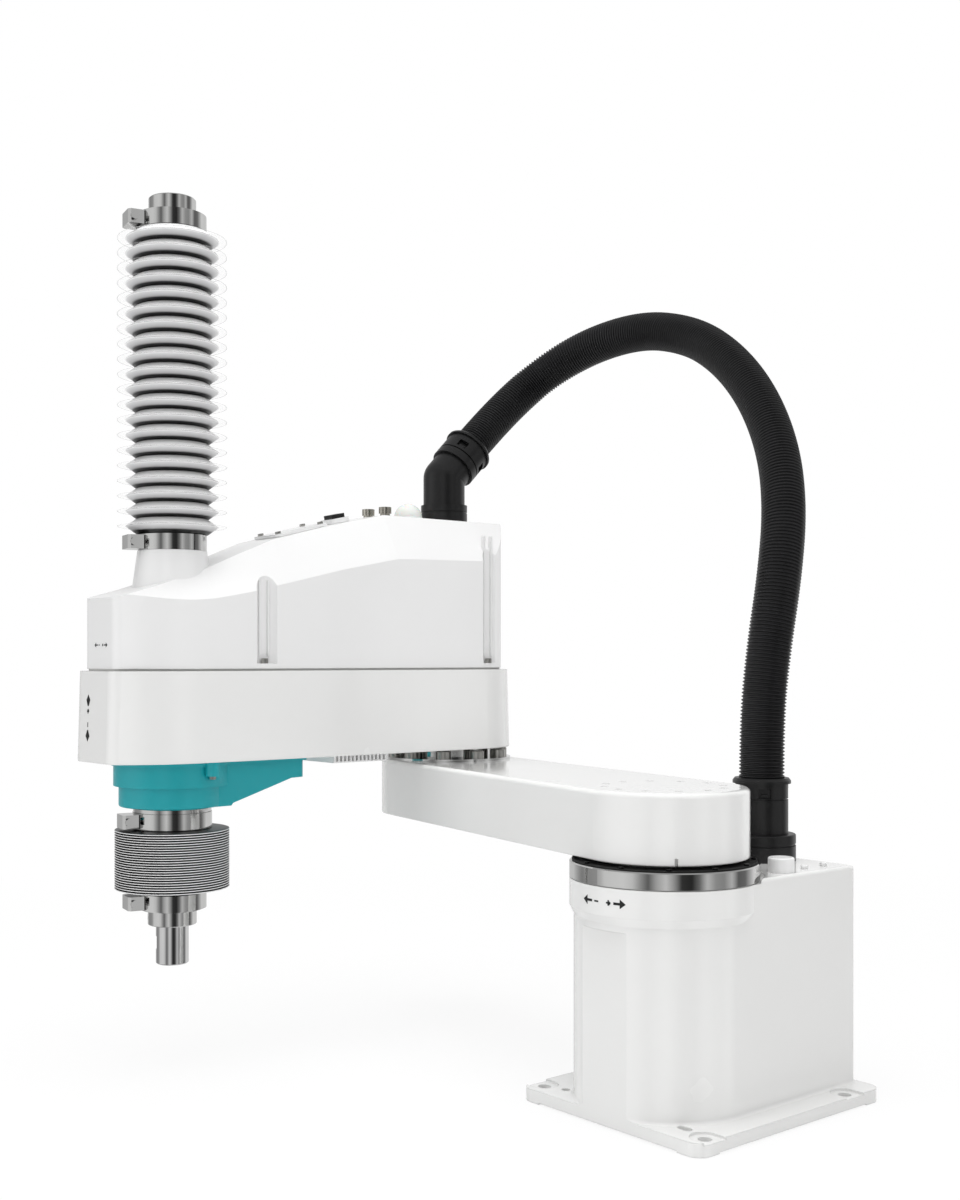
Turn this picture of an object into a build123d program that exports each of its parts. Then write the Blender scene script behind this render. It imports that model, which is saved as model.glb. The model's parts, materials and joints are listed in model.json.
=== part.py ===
"""Four-axis SCARA robot: base, two links and a vertical quill, in millimetres.

The origin lies on the J1 axis in the plane of the base's underside. +Z is up, +X points from the
rear box towards the front of the column, and the robot is drawn in the pose of its photograph.
"""

from build123d import *
from math import cos, pi, radians, sin, sqrt
import os

# Driving dimensions: links and pose
link_1_length = 325.0
link_2_length = 275.0
link_1_heading = -102.0
link_2_heading = 0.0
running_gap = 0.05
seat_gap = 0.3

# Base
plate_front = 59.0
plate_rear = 136.5
plate_half_width = 83.0
plate_thickness = 9.3
plate_corner_radius = 10.5
pad_relief = 1.0
pad_length = 19.0
relief_width = 6.0
box_rear = 133.5
column_radius = 62.4
column_flat_top = 132.0
box_top = 164.5
box_edge_radius = 3.0
foot_fillet = 2.4
base_wall = 6.0
collar_bottom = 142.5
collar_taper = 6.0
mount_hole_x_front = 43.7
mount_hole_spacing = 148.0
mount_hole_radius = 4.5
spotface_radius = 10.0
spotface_depth = 1.5
dowel_x = 41.0
dowel_y = 55.0
dowel_radius = 3.0
dowel_slot_length = 11.0

# J1 drive
ring_radius = 65.4
ring_bottom = 161.4
ring_top = 173.4
ring_bore = 50.0
ring_recess_gap = 2.6
seal_outer_radius = 63.6
seal_thickness = 1.0
ring_screw_circle = 61.3
ring_screw_count = 12
ring_screw_head_radius = 1.9
ring_screw_head_height = 1.2
j1_motor_side = 60.0
j1_motor_bottom = 34.0
j1_motor_flange_side = 80.0
j1_motor_flange_thickness = 8.0
j1_flange_bottom = 164.0

# Rear panel
panel_half_width = 48.0
panel_bottom = 22.0
panel_top = 150.0
panel_thickness = 3.0
panel_ledge = 5.0
panel_screw_inset = 4.5

# Box top fittings
conduit_x = -106.6
conduit_flange_radius = 24.7
conduit_flange_height = 19.5
conduit_body_radius = 19.2
conduit_body_top = 221.0
conduit_lip_radius = 21.2
latch_width = 9.0
latch_height = 7.0
latch_depth = 3.6
cap_x = -66.0
cap_y = 49.0
cap_radius = 9.1
cap_height = 10.3
plug_positions = [(-91.0, 50.0), (-113.0, 50.0)]
plug_radius = 2.6
plug_height = 2.4

# Link 1
link_1_half_width = 58.7
link_1_bottom = 176.8
link_1_top = 224.5
link_1_edge_radius = 3.5
link_1_pocket_width = 46.0
link_1_pocket_length = 46.0
link_1_pocket_depth = 36.0
link_1_rib = 6.0
hub_plug_circle = 42.0
hub_plug_count = 12
hub_plug_radius = 2.6
hub_plug_recess = 0.4
zero_notch_width = 2.0
zero_notch_height = 5.0
zero_notch_depth = 2.6

# J2 drive
j2_flange_radius = 55.5
j2_flange_thickness = 2.0
j2_body_radius = 39.0
j2_screw_circle = 47.5
j2_screw_count = 10
j2_screw_head_radius = 6.5
j2_screw_head_height = 7.0
j2_spigot_radius = 19.0
j2_shaft_radius = 8.0
j2_shaft_low = 215.0

# Link 2 casting
link_2_bottom = 235.1
link_2_band_top = 303.5
band_half_width = 54.6
band_draft = 1.8
band_nose = 66.5
band_nose_half_flat = 28.0
band_nose_corner = 14.0
casting_wall = 5.0
casting_floor = 8.0

# Link 2 cover
gasket_thickness = 1.5
gasket_inset = 1.2
cover_half_width = 47.2
cover_nose = 60.5
cover_nose_half_flat = 24.0
cover_nose_corner = 12.0
cover_wall = 3.0
cover_top = 433.0
cover_tail = 62.0
crease_x = 91.0
roof_half_flat = 26.0
channel_x_front = 219.0
channel_x_rear = -10.0
channel_radius = 9.5
channel_depth = 6.5
channel_top_front = 383.5
channel_top_rear = 430.0
channel_floor = 4.0
channel_rail = 1.6
boss_top = 395.2
boss_top_radius = 26.5
boss_foot_radius = 32.5
boss_foot = 352.0
boss_neck_radius = 23.6
boss_neck_height = 10.8
bellows_seat = 13.0
boss_bore = 14.5

# Fittings on the cover
lamp_x = 45.0
lamp_radius = 12.2
lamp_base_height = 2.4
air_fitting_x = 79.0
air_fitting_y = 12.0
air_fitting_radius = 5.4
air_fitting_height = 8.4
access_x = 166.0
access_length = 52.0
access_width = 36.0
access_thickness = 2.4
button_x = 122.0
button_housing = (18.0, 18.0, 4.0)
button_cap = (13.0, 13.0, 4.4)
button_travel = 2.0
elbow_x = 4.4
elbow_ring_radius = 20.5
elbow_ring_height = 15.5
elbow_tube_radius = 18.3
elbow_bend_height = 40.0
elbow_reach = 44.0
elbow_collar_radius = 20.6
elbow_collar_length = 30.0

# Belt cover under the nose
belt_cover_bottom = 200.0
belt_cover_step = 216.0
belt_cover_radius = 40.5
belt_cover_upper_radius = 44.5
belt_cover_tail = 104.0
belt_cover_tail_bottom = 218.5
belt_cover_tail_half_width = 28.0
belt_cover_wall = 2.5
belt_cover_lip = 2.6
belt_cover_lip_height = 3.2
belt_cover_lug_drop = 10.5
belt_cover_lug_radius = 5.5

# Quill: hollow ball screw spline, its nuts, bellows and clamps
shaft_radius = 12.5
shaft_bore = 9.0
shaft_bottom = 78.5
shaft_groove = 0.3
shaft_flat_bottom = 89.2
shaft_flat_top = 99.8
shaft_flat_depth = 1.2
shaft_flat_heading = -35.0
quill_stroke = 170.0
top_cap_radius = 18.1
top_cap_height = 12.5
top_cap_top = 666.5
collar_radius = 18.6
collar_low = 108.6
collar_high = 120.0
neck_ring_bottom = 184.6
neck_ring_radius = 27.6
neck_ring_flange_radius = 29.8
neck_ring_flange_bottom = 195.6
neck_ring_flange_height = 2.8
neck_ring_bore = 15.0
bearing_radius = 23.4
bellows_radius_upper = 41.7
bellows_radius_lower = 43.6
bellows_root_radius = 29.0
bellows_root_lower = 33.0
bellows_wall = 1.3
upper_bellows_folds = 20
lower_bellows_folds = 25
upper_bellows_gap = 13.5
lower_bellows_bottom = 136.5
lower_bellows_top = 182.5
clamp_gap = 0.7
clamp_height = 12.1
clamp_band = 1.3
clamp_block = (12.0, 20.0, 10.5)
clamp_block_angle = -12.0
nut_radius = 20.0
nut_gap = 2.0
nut_split = 266.0
spline_nut_length = 47.0
screw_nut_length = 50.5
housing_radius = 34.0
housing_spigot_radius = 24.7
housing_seat = 4.0
pulley_radius = 30.0
motor_pulley_radius = 13.0
belt_width = 9.0
belt_thickness = 2.2
j3_motor_x = 130.0
j4_motor_x = 196.0
wrist_motor_side = 42.0
screw_lead = 20.0

# Conduit: outer diameter and the hand-placed points of its route
conduit_diameter = 33.0
conduit_lead = 72.8
conduit_seam = 0.3
conduit_route = [
    (conduit_x, 0.0, conduit_body_top),
    (conduit_x, 0.0, 267.8),
    (-112.7, 1.6, 320.3),
    (-124.9, 2.0, 374.0),
    (-140.0, -4.6, 425.6),
    (-155.1, -22.0, 473.6),
    (-169.9, -53.0, 520.0),
    (-182.9, -93.8, 559.2),
    (-192.3, -142.2, 588.9),
    (-193.7, -204.7, 604.8),
    (-177.6, -272.0, 592.3),
]

# Worked-out places
tool_x = link_2_length
link_1_place = Rot(0, 0, link_1_heading)
j2_x = link_1_length * cos(radians(link_1_heading))
j2_y = link_1_length * sin(radians(link_1_heading))
link_2_place = Pos(j2_x, j2_y, 0) * Rot(0, 0, link_2_heading)
seal_top = ring_top + seal_thickness
cover_bottom = link_2_band_top + gasket_thickness
boss_neck_top = boss_top + boss_neck_height
upper_bellows_bottom = boss_top + bellows_seat
top_cap_bottom = top_cap_top - top_cap_height
upper_bellows_top = top_cap_bottom - upper_bellows_gap
casting_floor_top = link_2_bottom + casting_floor

nodes = {}


def keep(name, shape, place=Pos(0, 0, 0)):
    """Put a piece in its place and remember it under its name."""
    solids = [place * solid for solid in shape.solids()]
    nodes[name] = solids[0] if len(solids) == 1 else Compound(children=solids)


def disc(radius, low, high, x=0.0, y=0.0):
    """Upright cylinder between two heights."""
    return Pos(x, y, low) * Cylinder(radius, high - low, align=(Align.CENTER, Align.CENTER, Align.MIN))


def tube(outer, inner, low, high, x=0.0, y=0.0):
    """Upright ring between two heights."""
    return disc(outer, low, high, x, y) - disc(inner, low - 1, high + 1, x, y)


def block(x_low, x_high, y_low, y_high, z_low, z_high):
    """Box given by its six faces."""
    box = Box(x_high - x_low, y_high - y_low, z_high - z_low, align=(Align.MIN, Align.MIN, Align.MIN))
    return Pos(x_low, y_low, z_low) * box


def on_circle(radius, count, start=0.0):
    """Points spread evenly on a circle."""
    turns = [start + 360.0 * i / count for i in range(count)]
    return [(radius * cos(radians(a)), radius * sin(radians(a))) for a in turns]


def screw_heads(points, low, radius, height, socket=True):
    """Cap screw heads as separate solids, each with a hexagon socket."""
    heads = []
    for x, y in points:
        head = disc(radius, low, low + height, x, y)
        head = chamfer(head.edges().group_by(Axis.Z)[-1], 0.12 * radius)
        if socket:
            key = extrude(RegularPolygon(0.52 * radius, 6), 0.6 * height)
            head -= Pos(x, y, low + 0.45 * height) * key
        heads.append(head)
    return Compound(children=heads)


# Base casting
def base_outline():
    """Plan of the mounting plate."""
    sheet = Pos((plate_front - plate_rear) / 2, 0) * Rectangle(plate_front + plate_rear, 2 * plate_half_width)
    return fillet(sheet.vertices(), plate_corner_radius)


def base_casting():
    plate = extrude(base_outline(), plate_thickness)
    column = disc(column_radius, plate_thickness, ring_bottom)
    rear_box = block(-box_rear, 0, -column_radius, column_radius, plate_thickness, box_top)
    rear_box = fillet(rear_box.edges().filter_by(Axis.Z).sort_by(Axis.X)[:2], box_edge_radius)
    top_edges = rear_box.edges().group_by(Axis.Z)[-1].sort_by(Axis.X)[:-1]
    rear_box = fillet(top_edges, box_edge_radius - 0.5)
    body = column + rear_box
    body -= block(plate_front, ring_radius + 5, -ring_radius, ring_radius, plate_thickness, column_flat_top)
    body += plate
    foot = [e for e in body.edges() if abs(e.center().Z - plate_thickness) < 0.01
            and abs(e.center().Y) < column_radius + 1 and e.center().X < plate_front - 1
            and e.center().X > -box_rear - 1]
    body = fillet(foot, foot_fillet)
    taper = Pos(0, 0, collar_bottom - collar_taper) * Cone(
        column_radius, ring_radius, collar_taper, align=(Align.CENTER, Align.CENTER, Align.MIN))
    body += taper + disc(ring_radius, collar_bottom, ring_bottom)
    body -= disc(ring_radius + ring_recess_gap, ring_bottom, box_top + 1)
    return body


def base_cavity():
    """Room for the J1 motor, open to the rear panel."""
    inner_y = column_radius - base_wall
    roof = box_top - 2 * base_wall
    room = block(-box_rear + base_wall, 0, -inner_y, inner_y, plate_thickness + base_wall, roof)
    room += disc(column_radius - 1.5 * base_wall, plate_thickness + base_wall, roof)
    room += disc(ring_bore - 8, roof - 1, ring_bottom + 1)
    room += block(-box_rear - 1, -box_rear + base_wall + 1, -panel_half_width, panel_half_width,
                  panel_bottom, panel_top)
    ledge_y = panel_half_width + panel_ledge
    room += block(-box_rear - 1, -box_rear + panel_thickness, -ledge_y, ledge_y,
                  panel_bottom - panel_ledge, panel_top + panel_ledge)
    return room


mount_points = [(x, y) for x in (mount_hole_x_front, mount_hole_x_front - mount_hole_spacing)
                for y in (-mount_hole_spacing / 2, mount_hole_spacing / 2)]
base = base_casting() - base_cavity()
for hole_x, hole_y in mount_points:
    side = 1 if hole_y > 0 else -1
    base -= disc(mount_hole_radius, -1, plate_thickness + 1, hole_x, hole_y)
    spot = disc(spotface_radius, plate_thickness - spotface_depth, plate_thickness + 4, hole_x, hole_y)
    spot += Pos(hole_x, hole_y + side * 10, plate_thickness - spotface_depth) * Box(
        2 * spotface_radius, 20, 5, align=(Align.CENTER, Align.CENTER, Align.MIN))
    base -= spot
base -= disc(dowel_radius, 2, plate_thickness + 1, dowel_x, -dowel_y)
dowel_slot = Pos(dowel_x, dowel_y, 2) * extrude(
    Rot(0, 0, 90) * SlotOverall(dowel_slot_length, 2 * dowel_radius), plate_thickness)
base -= dowel_slot
for side in (-1, 1):
    base -= block(-plate_rear + pad_length, plate_front - pad_length,
                  side * plate_half_width - relief_width, side * plate_half_width + relief_width,
                  -1, pad_relief)
for end, sign in ((plate_front, 1), (-plate_rear, -1)):
    base -= block(end - relief_width, end + relief_width, -plate_half_width + pad_length,
                  plate_half_width - pad_length, -1, pad_relief)
conduit_hole = disc(14, box_top - 3 * base_wall, box_top + 1, conduit_x, 0)
keep("base_casting", base - conduit_hole)

# Rear panel, its screws and connectors
panel_y = panel_half_width + panel_ledge - seat_gap
panel_low = panel_bottom - panel_ledge + seat_gap
panel_high = panel_top + panel_ledge - seat_gap
panel_out = -box_rear
panel = block(panel_out, panel_out + panel_thickness, -panel_y, panel_y, panel_low, panel_high)
panel = fillet(panel.edges().filter_by(Axis.X), 1.5)
power_at = (-22.0, 112.0)
signal_at = (22.0, 112.0)
air_at = [(-26.0, 62.0), (0.0, 62.0), (26.0, 62.0)]


def towards_rear(shape, y, z, start=panel_out):
    """Stand an upright piece on the outside of the rear panel."""
    return Pos(start, y, z) * Rot(0, -90, 0) * shape


for y, z in (power_at, signal_at):
    panel -= towards_rear(disc(11.0, -panel_thickness - 1, 1), y, z)
for y, z in air_at:
    panel -= towards_rear(disc(5.0, -panel_thickness - 1, 1), y, z)
keep("rear_panel", panel)
panel_points = [(y, z) for y in (-panel_y + panel_screw_inset, panel_y - panel_screw_inset)
                for z in (panel_low + panel_screw_inset, (panel_low + panel_high) / 2,
                          panel_high - panel_screw_inset)]
keep("panel_screws", Compound(children=[
    towards_rear(disc(2.7, 0, 2.2) - Pos(0, 0, 1) * extrude(RegularPolygon(1.3, 6), 2), y, z)
    for y, z in panel_points]))


def round_connector(y, z):
    """Panel connector: flange and barrel round an insert."""
    barrel = disc(10.9, -14, 0) + disc(14.0, 0, 2.5) + disc(11.5, 2.5, 14)
    return towards_rear(barrel - disc(9.5, 6, 15), y, z)


keep("power_connector", round_connector(*power_at))
keep("signal_connector", round_connector(*signal_at))
keep("air_ports", Compound(children=[
    towards_rear(disc(4.9, -8, 0) + disc(7.0, 0, 5) + disc(5.8, 5, 14) - disc(2.0, 4, 15), y, z)
    for y, z in air_at]))

# J1 motor, reducer ring, seal and screws
motor_top = box_top - 2 * base_wall - seat_gap
j1_body = block(-j1_motor_side / 2, j1_motor_side / 2, -j1_motor_side / 2, j1_motor_side / 2,
                j1_motor_bottom, motor_top - j1_motor_flange_thickness)
j1_body = fillet(j1_body.edges().filter_by(Axis.Z), 6)
j1_flange = Pos(0, 0, motor_top - j1_motor_flange_thickness) * extrude(
    RectangleRounded(j1_motor_flange_side, j1_motor_flange_side, 8), j1_motor_flange_thickness)
keep("j1_motor", j1_body + j1_flange + disc(9, motor_top, j1_flange_bottom - seat_gap))
ring_body = tube(ring_radius, ring_bore, ring_bottom, ring_top)
ring_rims = ring_body.edges().filter_by(GeomType.CIRCLE).sort_by(lambda e: -e.radius)[:2]
keep("j1_reducer_ring", chamfer(ring_rims, 0.8))
keep("seal_ring", tube(seal_outer_radius, ring_bore + 1, ring_top, seal_top))
keep("ring_screws", screw_heads(on_circle(ring_screw_circle, ring_screw_count, 15), seal_top,
                                ring_screw_head_radius, ring_screw_head_height, socket=False))

# Cap and plugs on the box top
cap = disc(cap_radius, box_top, box_top + cap_height, cap_x, cap_y)
cap = fillet(cap.edges().group_by(Axis.Z)[-1], 1.4)
keep("cable_cap", cap - disc(cap_radius - 2.6, box_top + cap_height - 0.6, box_top + 20, cap_x, cap_y))
plug = fillet(disc(plug_radius, 0, plug_height).edges().group_by(Axis.Z)[-1], 0.8)
keep("box_plugs", Compound(children=[Pos(x, y, box_top) * plug for x, y in plug_positions]))

# Conduit fitting on the box
conduit_bore = conduit_diameter / 2 - 3.5
flange_top = box_top + conduit_flange_height
flange_low = disc(conduit_flange_radius, box_top, flange_top)
flange_low = fillet(flange_low.edges().group_by(Axis.Z)[-1], 1.2)
flange_low -= tube(conduit_flange_radius + 1, conduit_flange_radius - 1.2, box_top + 11, box_top + 12.6)
flange_low += disc(conduit_body_radius, flange_top - 1, conduit_body_top - 17)
flange_low -= disc(conduit_bore, box_top - 1, conduit_body_top)
keep("conduit_flange", Pos(conduit_x, 0, 0) * flange_low)


def lock_collar(radius, length, lip, windows=4):
    """Snap collar of a conduit fitting, standing on the origin, with latch windows."""
    shell = disc(radius, 0, length) + disc(lip, length, length + 2)
    shell += Pos(0, 0, length + 2) * Cone(lip, lip - 1.5, 2, align=(Align.CENTER, Align.CENTER, Align.MIN))
    shell -= tube(radius + 1, radius - 1.1, 0.3 * length, 0.3 * length + 1.2)
    for i in range(windows):
        window = Rot(0, 0, 45 + 360 / windows * i) * Pos(radius, 0, 0.6 * length)
        shell -= window * Box(2 * latch_depth, latch_width, latch_height)
        shell += window * Pos(-latch_depth, 0, -0.2 * latch_height) * Box(latch_depth, 0.6 * latch_width, 1.6)
    return shell - disc(conduit_bore, -1, length)


collar_foot = conduit_body_top - 17
low_collar = lock_collar(conduit_body_radius, 17, conduit_lip_radius)
low_collar -= disc(conduit_diameter / 2 + seat_gap, 17, 30)
keep("conduit_lock_collar", Pos(conduit_x, 0, collar_foot) * low_collar)

# Link 1
link_1_plan = SlotCenterToCenter(link_1_length, 2 * link_1_half_width)
link_1_slab = Pos(link_1_length / 2, 0, link_1_bottom) * extrude(link_1_plan, link_1_top - link_1_bottom)
link_1_slab = fillet(link_1_slab.edges().group_by(Axis.Z)[-1], link_1_edge_radius)
link_1_slab = fillet(link_1_slab.edges().group_by(Axis.Z)[0], 1.0)
pocket_pitch_x = link_1_pocket_length + link_1_rib
pocket_pitch_y = link_1_pocket_width + link_1_rib
pocket_sheet = RectangleRounded(link_1_pocket_length, link_1_pocket_width, 6)
pocket = Pos(0, 0, link_1_bottom - 1) * extrude(pocket_sheet, link_1_pocket_depth + 1)
for i in (-1, 0, 1):
    for j in (-0.5, 0.5):
        link_1_slab -= Pos(link_1_length / 2 + i * pocket_pitch_x, j * pocket_pitch_y, 0) * pocket
hub_points = on_circle(hub_plug_circle, hub_plug_count, 8)
for x, y in hub_points:
    link_1_slab -= disc(hub_plug_radius + 0.1, link_1_top - 3, link_1_top + 1, x, y)
link_1_slab -= disc(20, link_1_bottom - 1, link_1_bottom + 20)
link_1_slab -= disc(j2_spigot_radius + seat_gap, link_1_top - 20, link_1_top + 1, link_1_length)
notch_turn = 50.0 - link_1_heading
notch = Rot(0, 0, notch_turn) * block(link_1_half_width - zero_notch_depth, link_1_half_width + 1,
                                      -zero_notch_width / 2, zero_notch_width / 2, link_1_bottom - 1,
                                      link_1_bottom + zero_notch_height)
keep("link_1_casting", link_1_slab - notch, link_1_place)
hub_flange = disc(ring_bore - 0.3, j1_flange_bottom, link_1_bottom - 0.01)
keep("j1_output_flange", hub_flange - disc(9.5, j1_flange_bottom - 1, j1_flange_bottom + 6), link_1_place)
keep("hub_plugs", Compound(children=[
    disc(hub_plug_radius, link_1_top - 3, link_1_top - hub_plug_recess, x, y) for x, y in hub_points]),
    link_1_place)
j2_base_top = link_1_top + j2_flange_thickness
j2_drive = disc(j2_flange_radius, link_1_top, j2_base_top, link_1_length)
j2_drive += disc(j2_body_radius, j2_base_top, link_2_bottom - seat_gap, link_1_length)
j2_drive += disc(j2_spigot_radius, link_1_top - 18, link_1_top + 1, link_1_length)
j2_drive -= disc(j2_shaft_radius + running_gap, j2_shaft_low - 1, link_2_bottom, link_1_length)
keep("j2_reducer", j2_drive, link_1_place)
j2_screws = [(x + link_1_length, y) for x, y in on_circle(j2_screw_circle, j2_screw_count, 4)]
keep("j2_reducer_screws", screw_heads(j2_screws, j2_base_top, j2_screw_head_radius,
                                      j2_screw_head_height), link_1_place)


# Link 2 plan: round rear end on J2, straight sides, ogive nose cut by a flat front
def link_2_plan(half_width, nose, half_flat, corner):
    """Closed plan face at height zero, in the frame of link 2."""
    front = tool_x + nose
    with BuildSketch() as plan:
        with BuildLine():
            Line((0, half_width), (tool_x, half_width))
            side = TangentArc([(tool_x, half_width), (front, half_flat)], tangent=(1, 0))
            Line(side @ 1, (front, -half_flat))
            TangentArc([(tool_x, -half_width), (front, -half_flat)], tangent=(1, 0))
            Line((tool_x, -half_width), (0, -half_width))
            ThreePointArc((0, -half_width), (-half_width, 0), (0, half_width))
        make_face()
        fillet(plan.vertices().sort_by(Axis.X)[-2:], corner)
    return plan.sketch


def drafted_band(shrink, low, high):
    """The casting's outer form, a little narrower at its top."""
    lower = link_2_plan(band_half_width - shrink, band_nose - shrink, band_nose_half_flat, band_nose_corner)
    narrow = shrink + band_draft
    upper = link_2_plan(band_half_width - narrow, band_nose - narrow, band_nose_half_flat, band_nose_corner)
    return loft([Pos(0, 0, low) * lower, Pos(0, 0, high) * upper], ruled=True)


band = drafted_band(0, link_2_bottom, link_2_band_top)
band = fillet(band.edges().group_by(Axis.Z)[0], 1.2)
band_room = drafted_band(casting_wall, casting_floor_top, link_2_band_top + 1)
band -= band_room
housing_low = casting_floor_top + housing_seat
band += disc(housing_radius + 2, casting_floor_top - 1, housing_low, tool_x)
band -= disc(housing_spigot_radius + seat_gap, link_2_bottom - 1, housing_low + 1, tool_x)
band -= disc(motor_pulley_radius + 3, link_2_bottom - 1, casting_floor_top + 1, j4_motor_x)
band -= disc(20, link_2_bottom - 1, casting_floor_top + 1)
for x, y in on_circle(30, 8, 22.5):
    band -= disc(2.2, link_2_bottom + 2, casting_floor_top + 1, x, y)
seat_screws = [(channel_x_front, 1), (channel_x_front, -1), (channel_x_rear, 1), (channel_x_rear, -1)]
keep("link_2_casting", band, link_2_place)
rim = Pos(0, 0, link_2_band_top) * extrude(link_2_plan(
    cover_half_width - gasket_inset, cover_nose - gasket_inset, cover_nose_half_flat, cover_nose_corner),
    gasket_thickness)
rim_room = Pos(0, 0, link_2_band_top - 1) * extrude(link_2_plan(
    cover_half_width - 5, cover_nose - 5, cover_nose_half_flat, cover_nose_corner), 4)
keep("cover_gasket", rim - rim_room, link_2_place)


# Upper cover: side walls, sloping shoulders and a roof that falls towards the nose
roof_falls = [
    (tool_x + cover_nose + 1, 82.5, 75.5, 30.0),
    (tool_x + 30.0, 79.5, 66.5, 28.0),
    (tool_x - 12.0, 75.5, 52.5, roof_half_flat),
    (tool_x - 43.0, 70.0, 39.0, roof_half_flat),
    (tool_x - 75.0, 62.5, 26.0, roof_half_flat),
    (tool_x - 130.0, 49.5, 12.0, roof_half_flat),
    (crease_x, 39.0, 0.0, roof_half_flat),
]
roof_stations = [(x, cover_top - shoulder, cover_top - fall, half) for x, shoulder, fall, half in roof_falls]
rear_station = (-cover_tail, cover_top - 35.5, cover_top, roof_half_flat)


def roof_section(station, shrink, low):
    """Cross-section of the cover across link 2 at one station."""
    x, shoulder, roof, half_flat = station
    side = cover_half_width + 0.6 - shrink
    drop = shrink
    points = [(-side, low), (side, low), (side, shoulder - drop), (half_flat, roof - drop),
              (-half_flat, roof - drop), (-side, shoulder - drop)]
    frame = Plane(origin=(x, 0, 0), x_dir=(0, 1, 0), z_dir=(1, 0, 0))
    return frame * Polygon(*points, align=None)


def cover_form(shrink, low):
    """Solid form of the cover, drawn in by a wall's thickness if asked."""
    stations = [roof_section(s, shrink, low) for s in roof_stations]
    body = None
    for near, far in zip(stations, stations[1:] + [roof_section(rear_station, shrink, low)]):
        piece = loft([near, far], ruled=True)
        body = piece if body is None else body + piece
    plan = link_2_plan(cover_half_width - shrink, cover_nose - shrink, cover_nose_half_flat,
                       cover_nose_corner)
    return body & (Pos(0, 0, low) * extrude(plan, cover_top - low + 1))


def channel_points():
    """Centres of the four screw channels in the cover's sides, with each channel's top."""
    for x, top in ((channel_x_front, channel_top_front), (channel_x_rear, channel_top_rear)):
        for sign in (-1, 1):
            yield x, sign, top


def upper_cover():
    outer = cover_form(0, cover_bottom)
    shell = outer - cover_form(cover_wall, cover_bottom - 1)
    middle = cover_half_width + channel_radius - channel_depth
    for x, sign, top in channel_points():
        post = disc(channel_radius + cover_wall, cover_bottom, cover_top, x, sign * middle)
        shell += post & outer
    for x, sign, top in channel_points():
        bore = disc(channel_radius, cover_bottom + channel_floor, top, x, sign * middle)
        shell -= fillet(bore.edges().group_by(Axis.Z)[-1], 0.9 * channel_radius)
    wall_y = cover_half_width - channel_depth
    for x, sign, top in channel_points():
        for offset in (-0.42, 0.42):
            rail = block(x + offset * channel_radius - channel_rail / 2,
                         x + offset * channel_radius + channel_rail / 2,
                         min(sign * (wall_y - 1), sign * (wall_y + 2.6)),
                         max(sign * (wall_y - 1), sign * (wall_y + 2.6)),
                         cover_bottom + channel_floor + 6, top - 1.1 * channel_radius)
            shell += rail
    boss = Pos(tool_x, 0, boss_foot) * Cone(boss_foot_radius, boss_top_radius, boss_top - boss_foot,
                                            align=(Align.CENTER, Align.CENTER, Align.MIN))
    boss += disc(boss_neck_radius, boss_top, boss_neck_top, tool_x)
    shell += boss
    shell -= disc(boss_bore, boss_foot - 20, boss_neck_top + 1, tool_x)
    shell -= disc(elbow_tube_radius - 4, cover_top - 10, cover_top + 1, elbow_x)
    return shell


keep("upper_cover", upper_cover(), link_2_place)
channel_screw_y = cover_half_width - channel_depth + 2.9
keep("cover_screws", screw_heads(
    [(x, sign * channel_screw_y) for x, sign, top in channel_points()],
    cover_bottom + channel_floor, 2.7, 4.0), link_2_place)


# Belt cover under the nose
def belt_cover_form(shrink, top):
    """Drum round the quill with a tail that rises towards J2."""
    low = belt_cover_bottom + shrink
    drum = disc(belt_cover_radius - shrink, low, top, tool_x)
    drum += disc(belt_cover_upper_radius - shrink, belt_cover_step + shrink, top, tool_x)
    tail_end = tool_x - belt_cover_tail + shrink
    half = belt_cover_tail_half_width - shrink
    tail_low = belt_cover_tail_bottom + shrink
    plan = Polygon((tail_end, -half), (tool_x, -belt_cover_radius + shrink + 4),
                   (tool_x, belt_cover_radius - shrink - 4), (tail_end, half), align=None)
    plan = fillet(plan.vertices().sort_by(Axis.X)[:2], 6 - shrink / 2)
    tail = Pos(0, 0, low) * extrude(plan, top - low)
    ramp = Plane.XZ * Polygon(
        (tail_end - 9, low - 9), (tail_end - 9, tail_low), (tail_end + 14, tail_low - 0.5),
        (tail_end + 26, tail_low - 4), (tool_x - 34, low + 2), (tool_x - 24, low - 9), align=None)
    return drum + (tail - extrude(ramp, 60, both=True))


belt_cover = belt_cover_form(0, link_2_bottom)
drum_low = belt_cover.edges().filter_by(GeomType.CIRCLE).group_by(Axis.Z)[0]
belt_cover = fillet(drum_low, 1.5)
lip_low = link_2_bottom - belt_cover_lip_height
lip = belt_cover_form(-belt_cover_lip, link_2_bottom)
belt_cover += lip & disc(2 * belt_cover_tail, lip_low, link_2_bottom, tool_x)
flange_seat = neck_ring_flange_bottom + neck_ring_flange_height
belt_cover += tube(neck_ring_flange_radius - 0.2, neck_ring_bore, flange_seat, belt_cover_bottom + 1, tool_x)
belt_cover -= belt_cover_form(belt_cover_wall, link_2_bottom + 1)
belt_cover -= disc(neck_ring_bore, flange_seat - 1, belt_cover_bottom + 2 * belt_cover_wall, tool_x)
lug_low = link_2_bottom - belt_cover_lug_drop
lug_points = [(tool_x - 8, sign * (belt_cover_upper_radius + 2.6)) for sign in (-1, 1)]
for x, y in lug_points:
    lug = disc(belt_cover_lug_radius, lug_low, link_2_bottom, x, y)
    belt_cover += lug - disc(belt_cover_upper_radius - belt_cover_wall, lug_low - 1, link_2_bottom + 1, tool_x)
keep("belt_cover", belt_cover, link_2_place)
lug_screws = screw_heads([(0, 0)], 0, 2.6, 2.4)
keep("belt_cover_screws", Compound(children=[
    Pos(x, y, lug_low) * Rot(180, 0, 0) * lug_screws for x, y in lug_points]), link_2_place)

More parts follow.
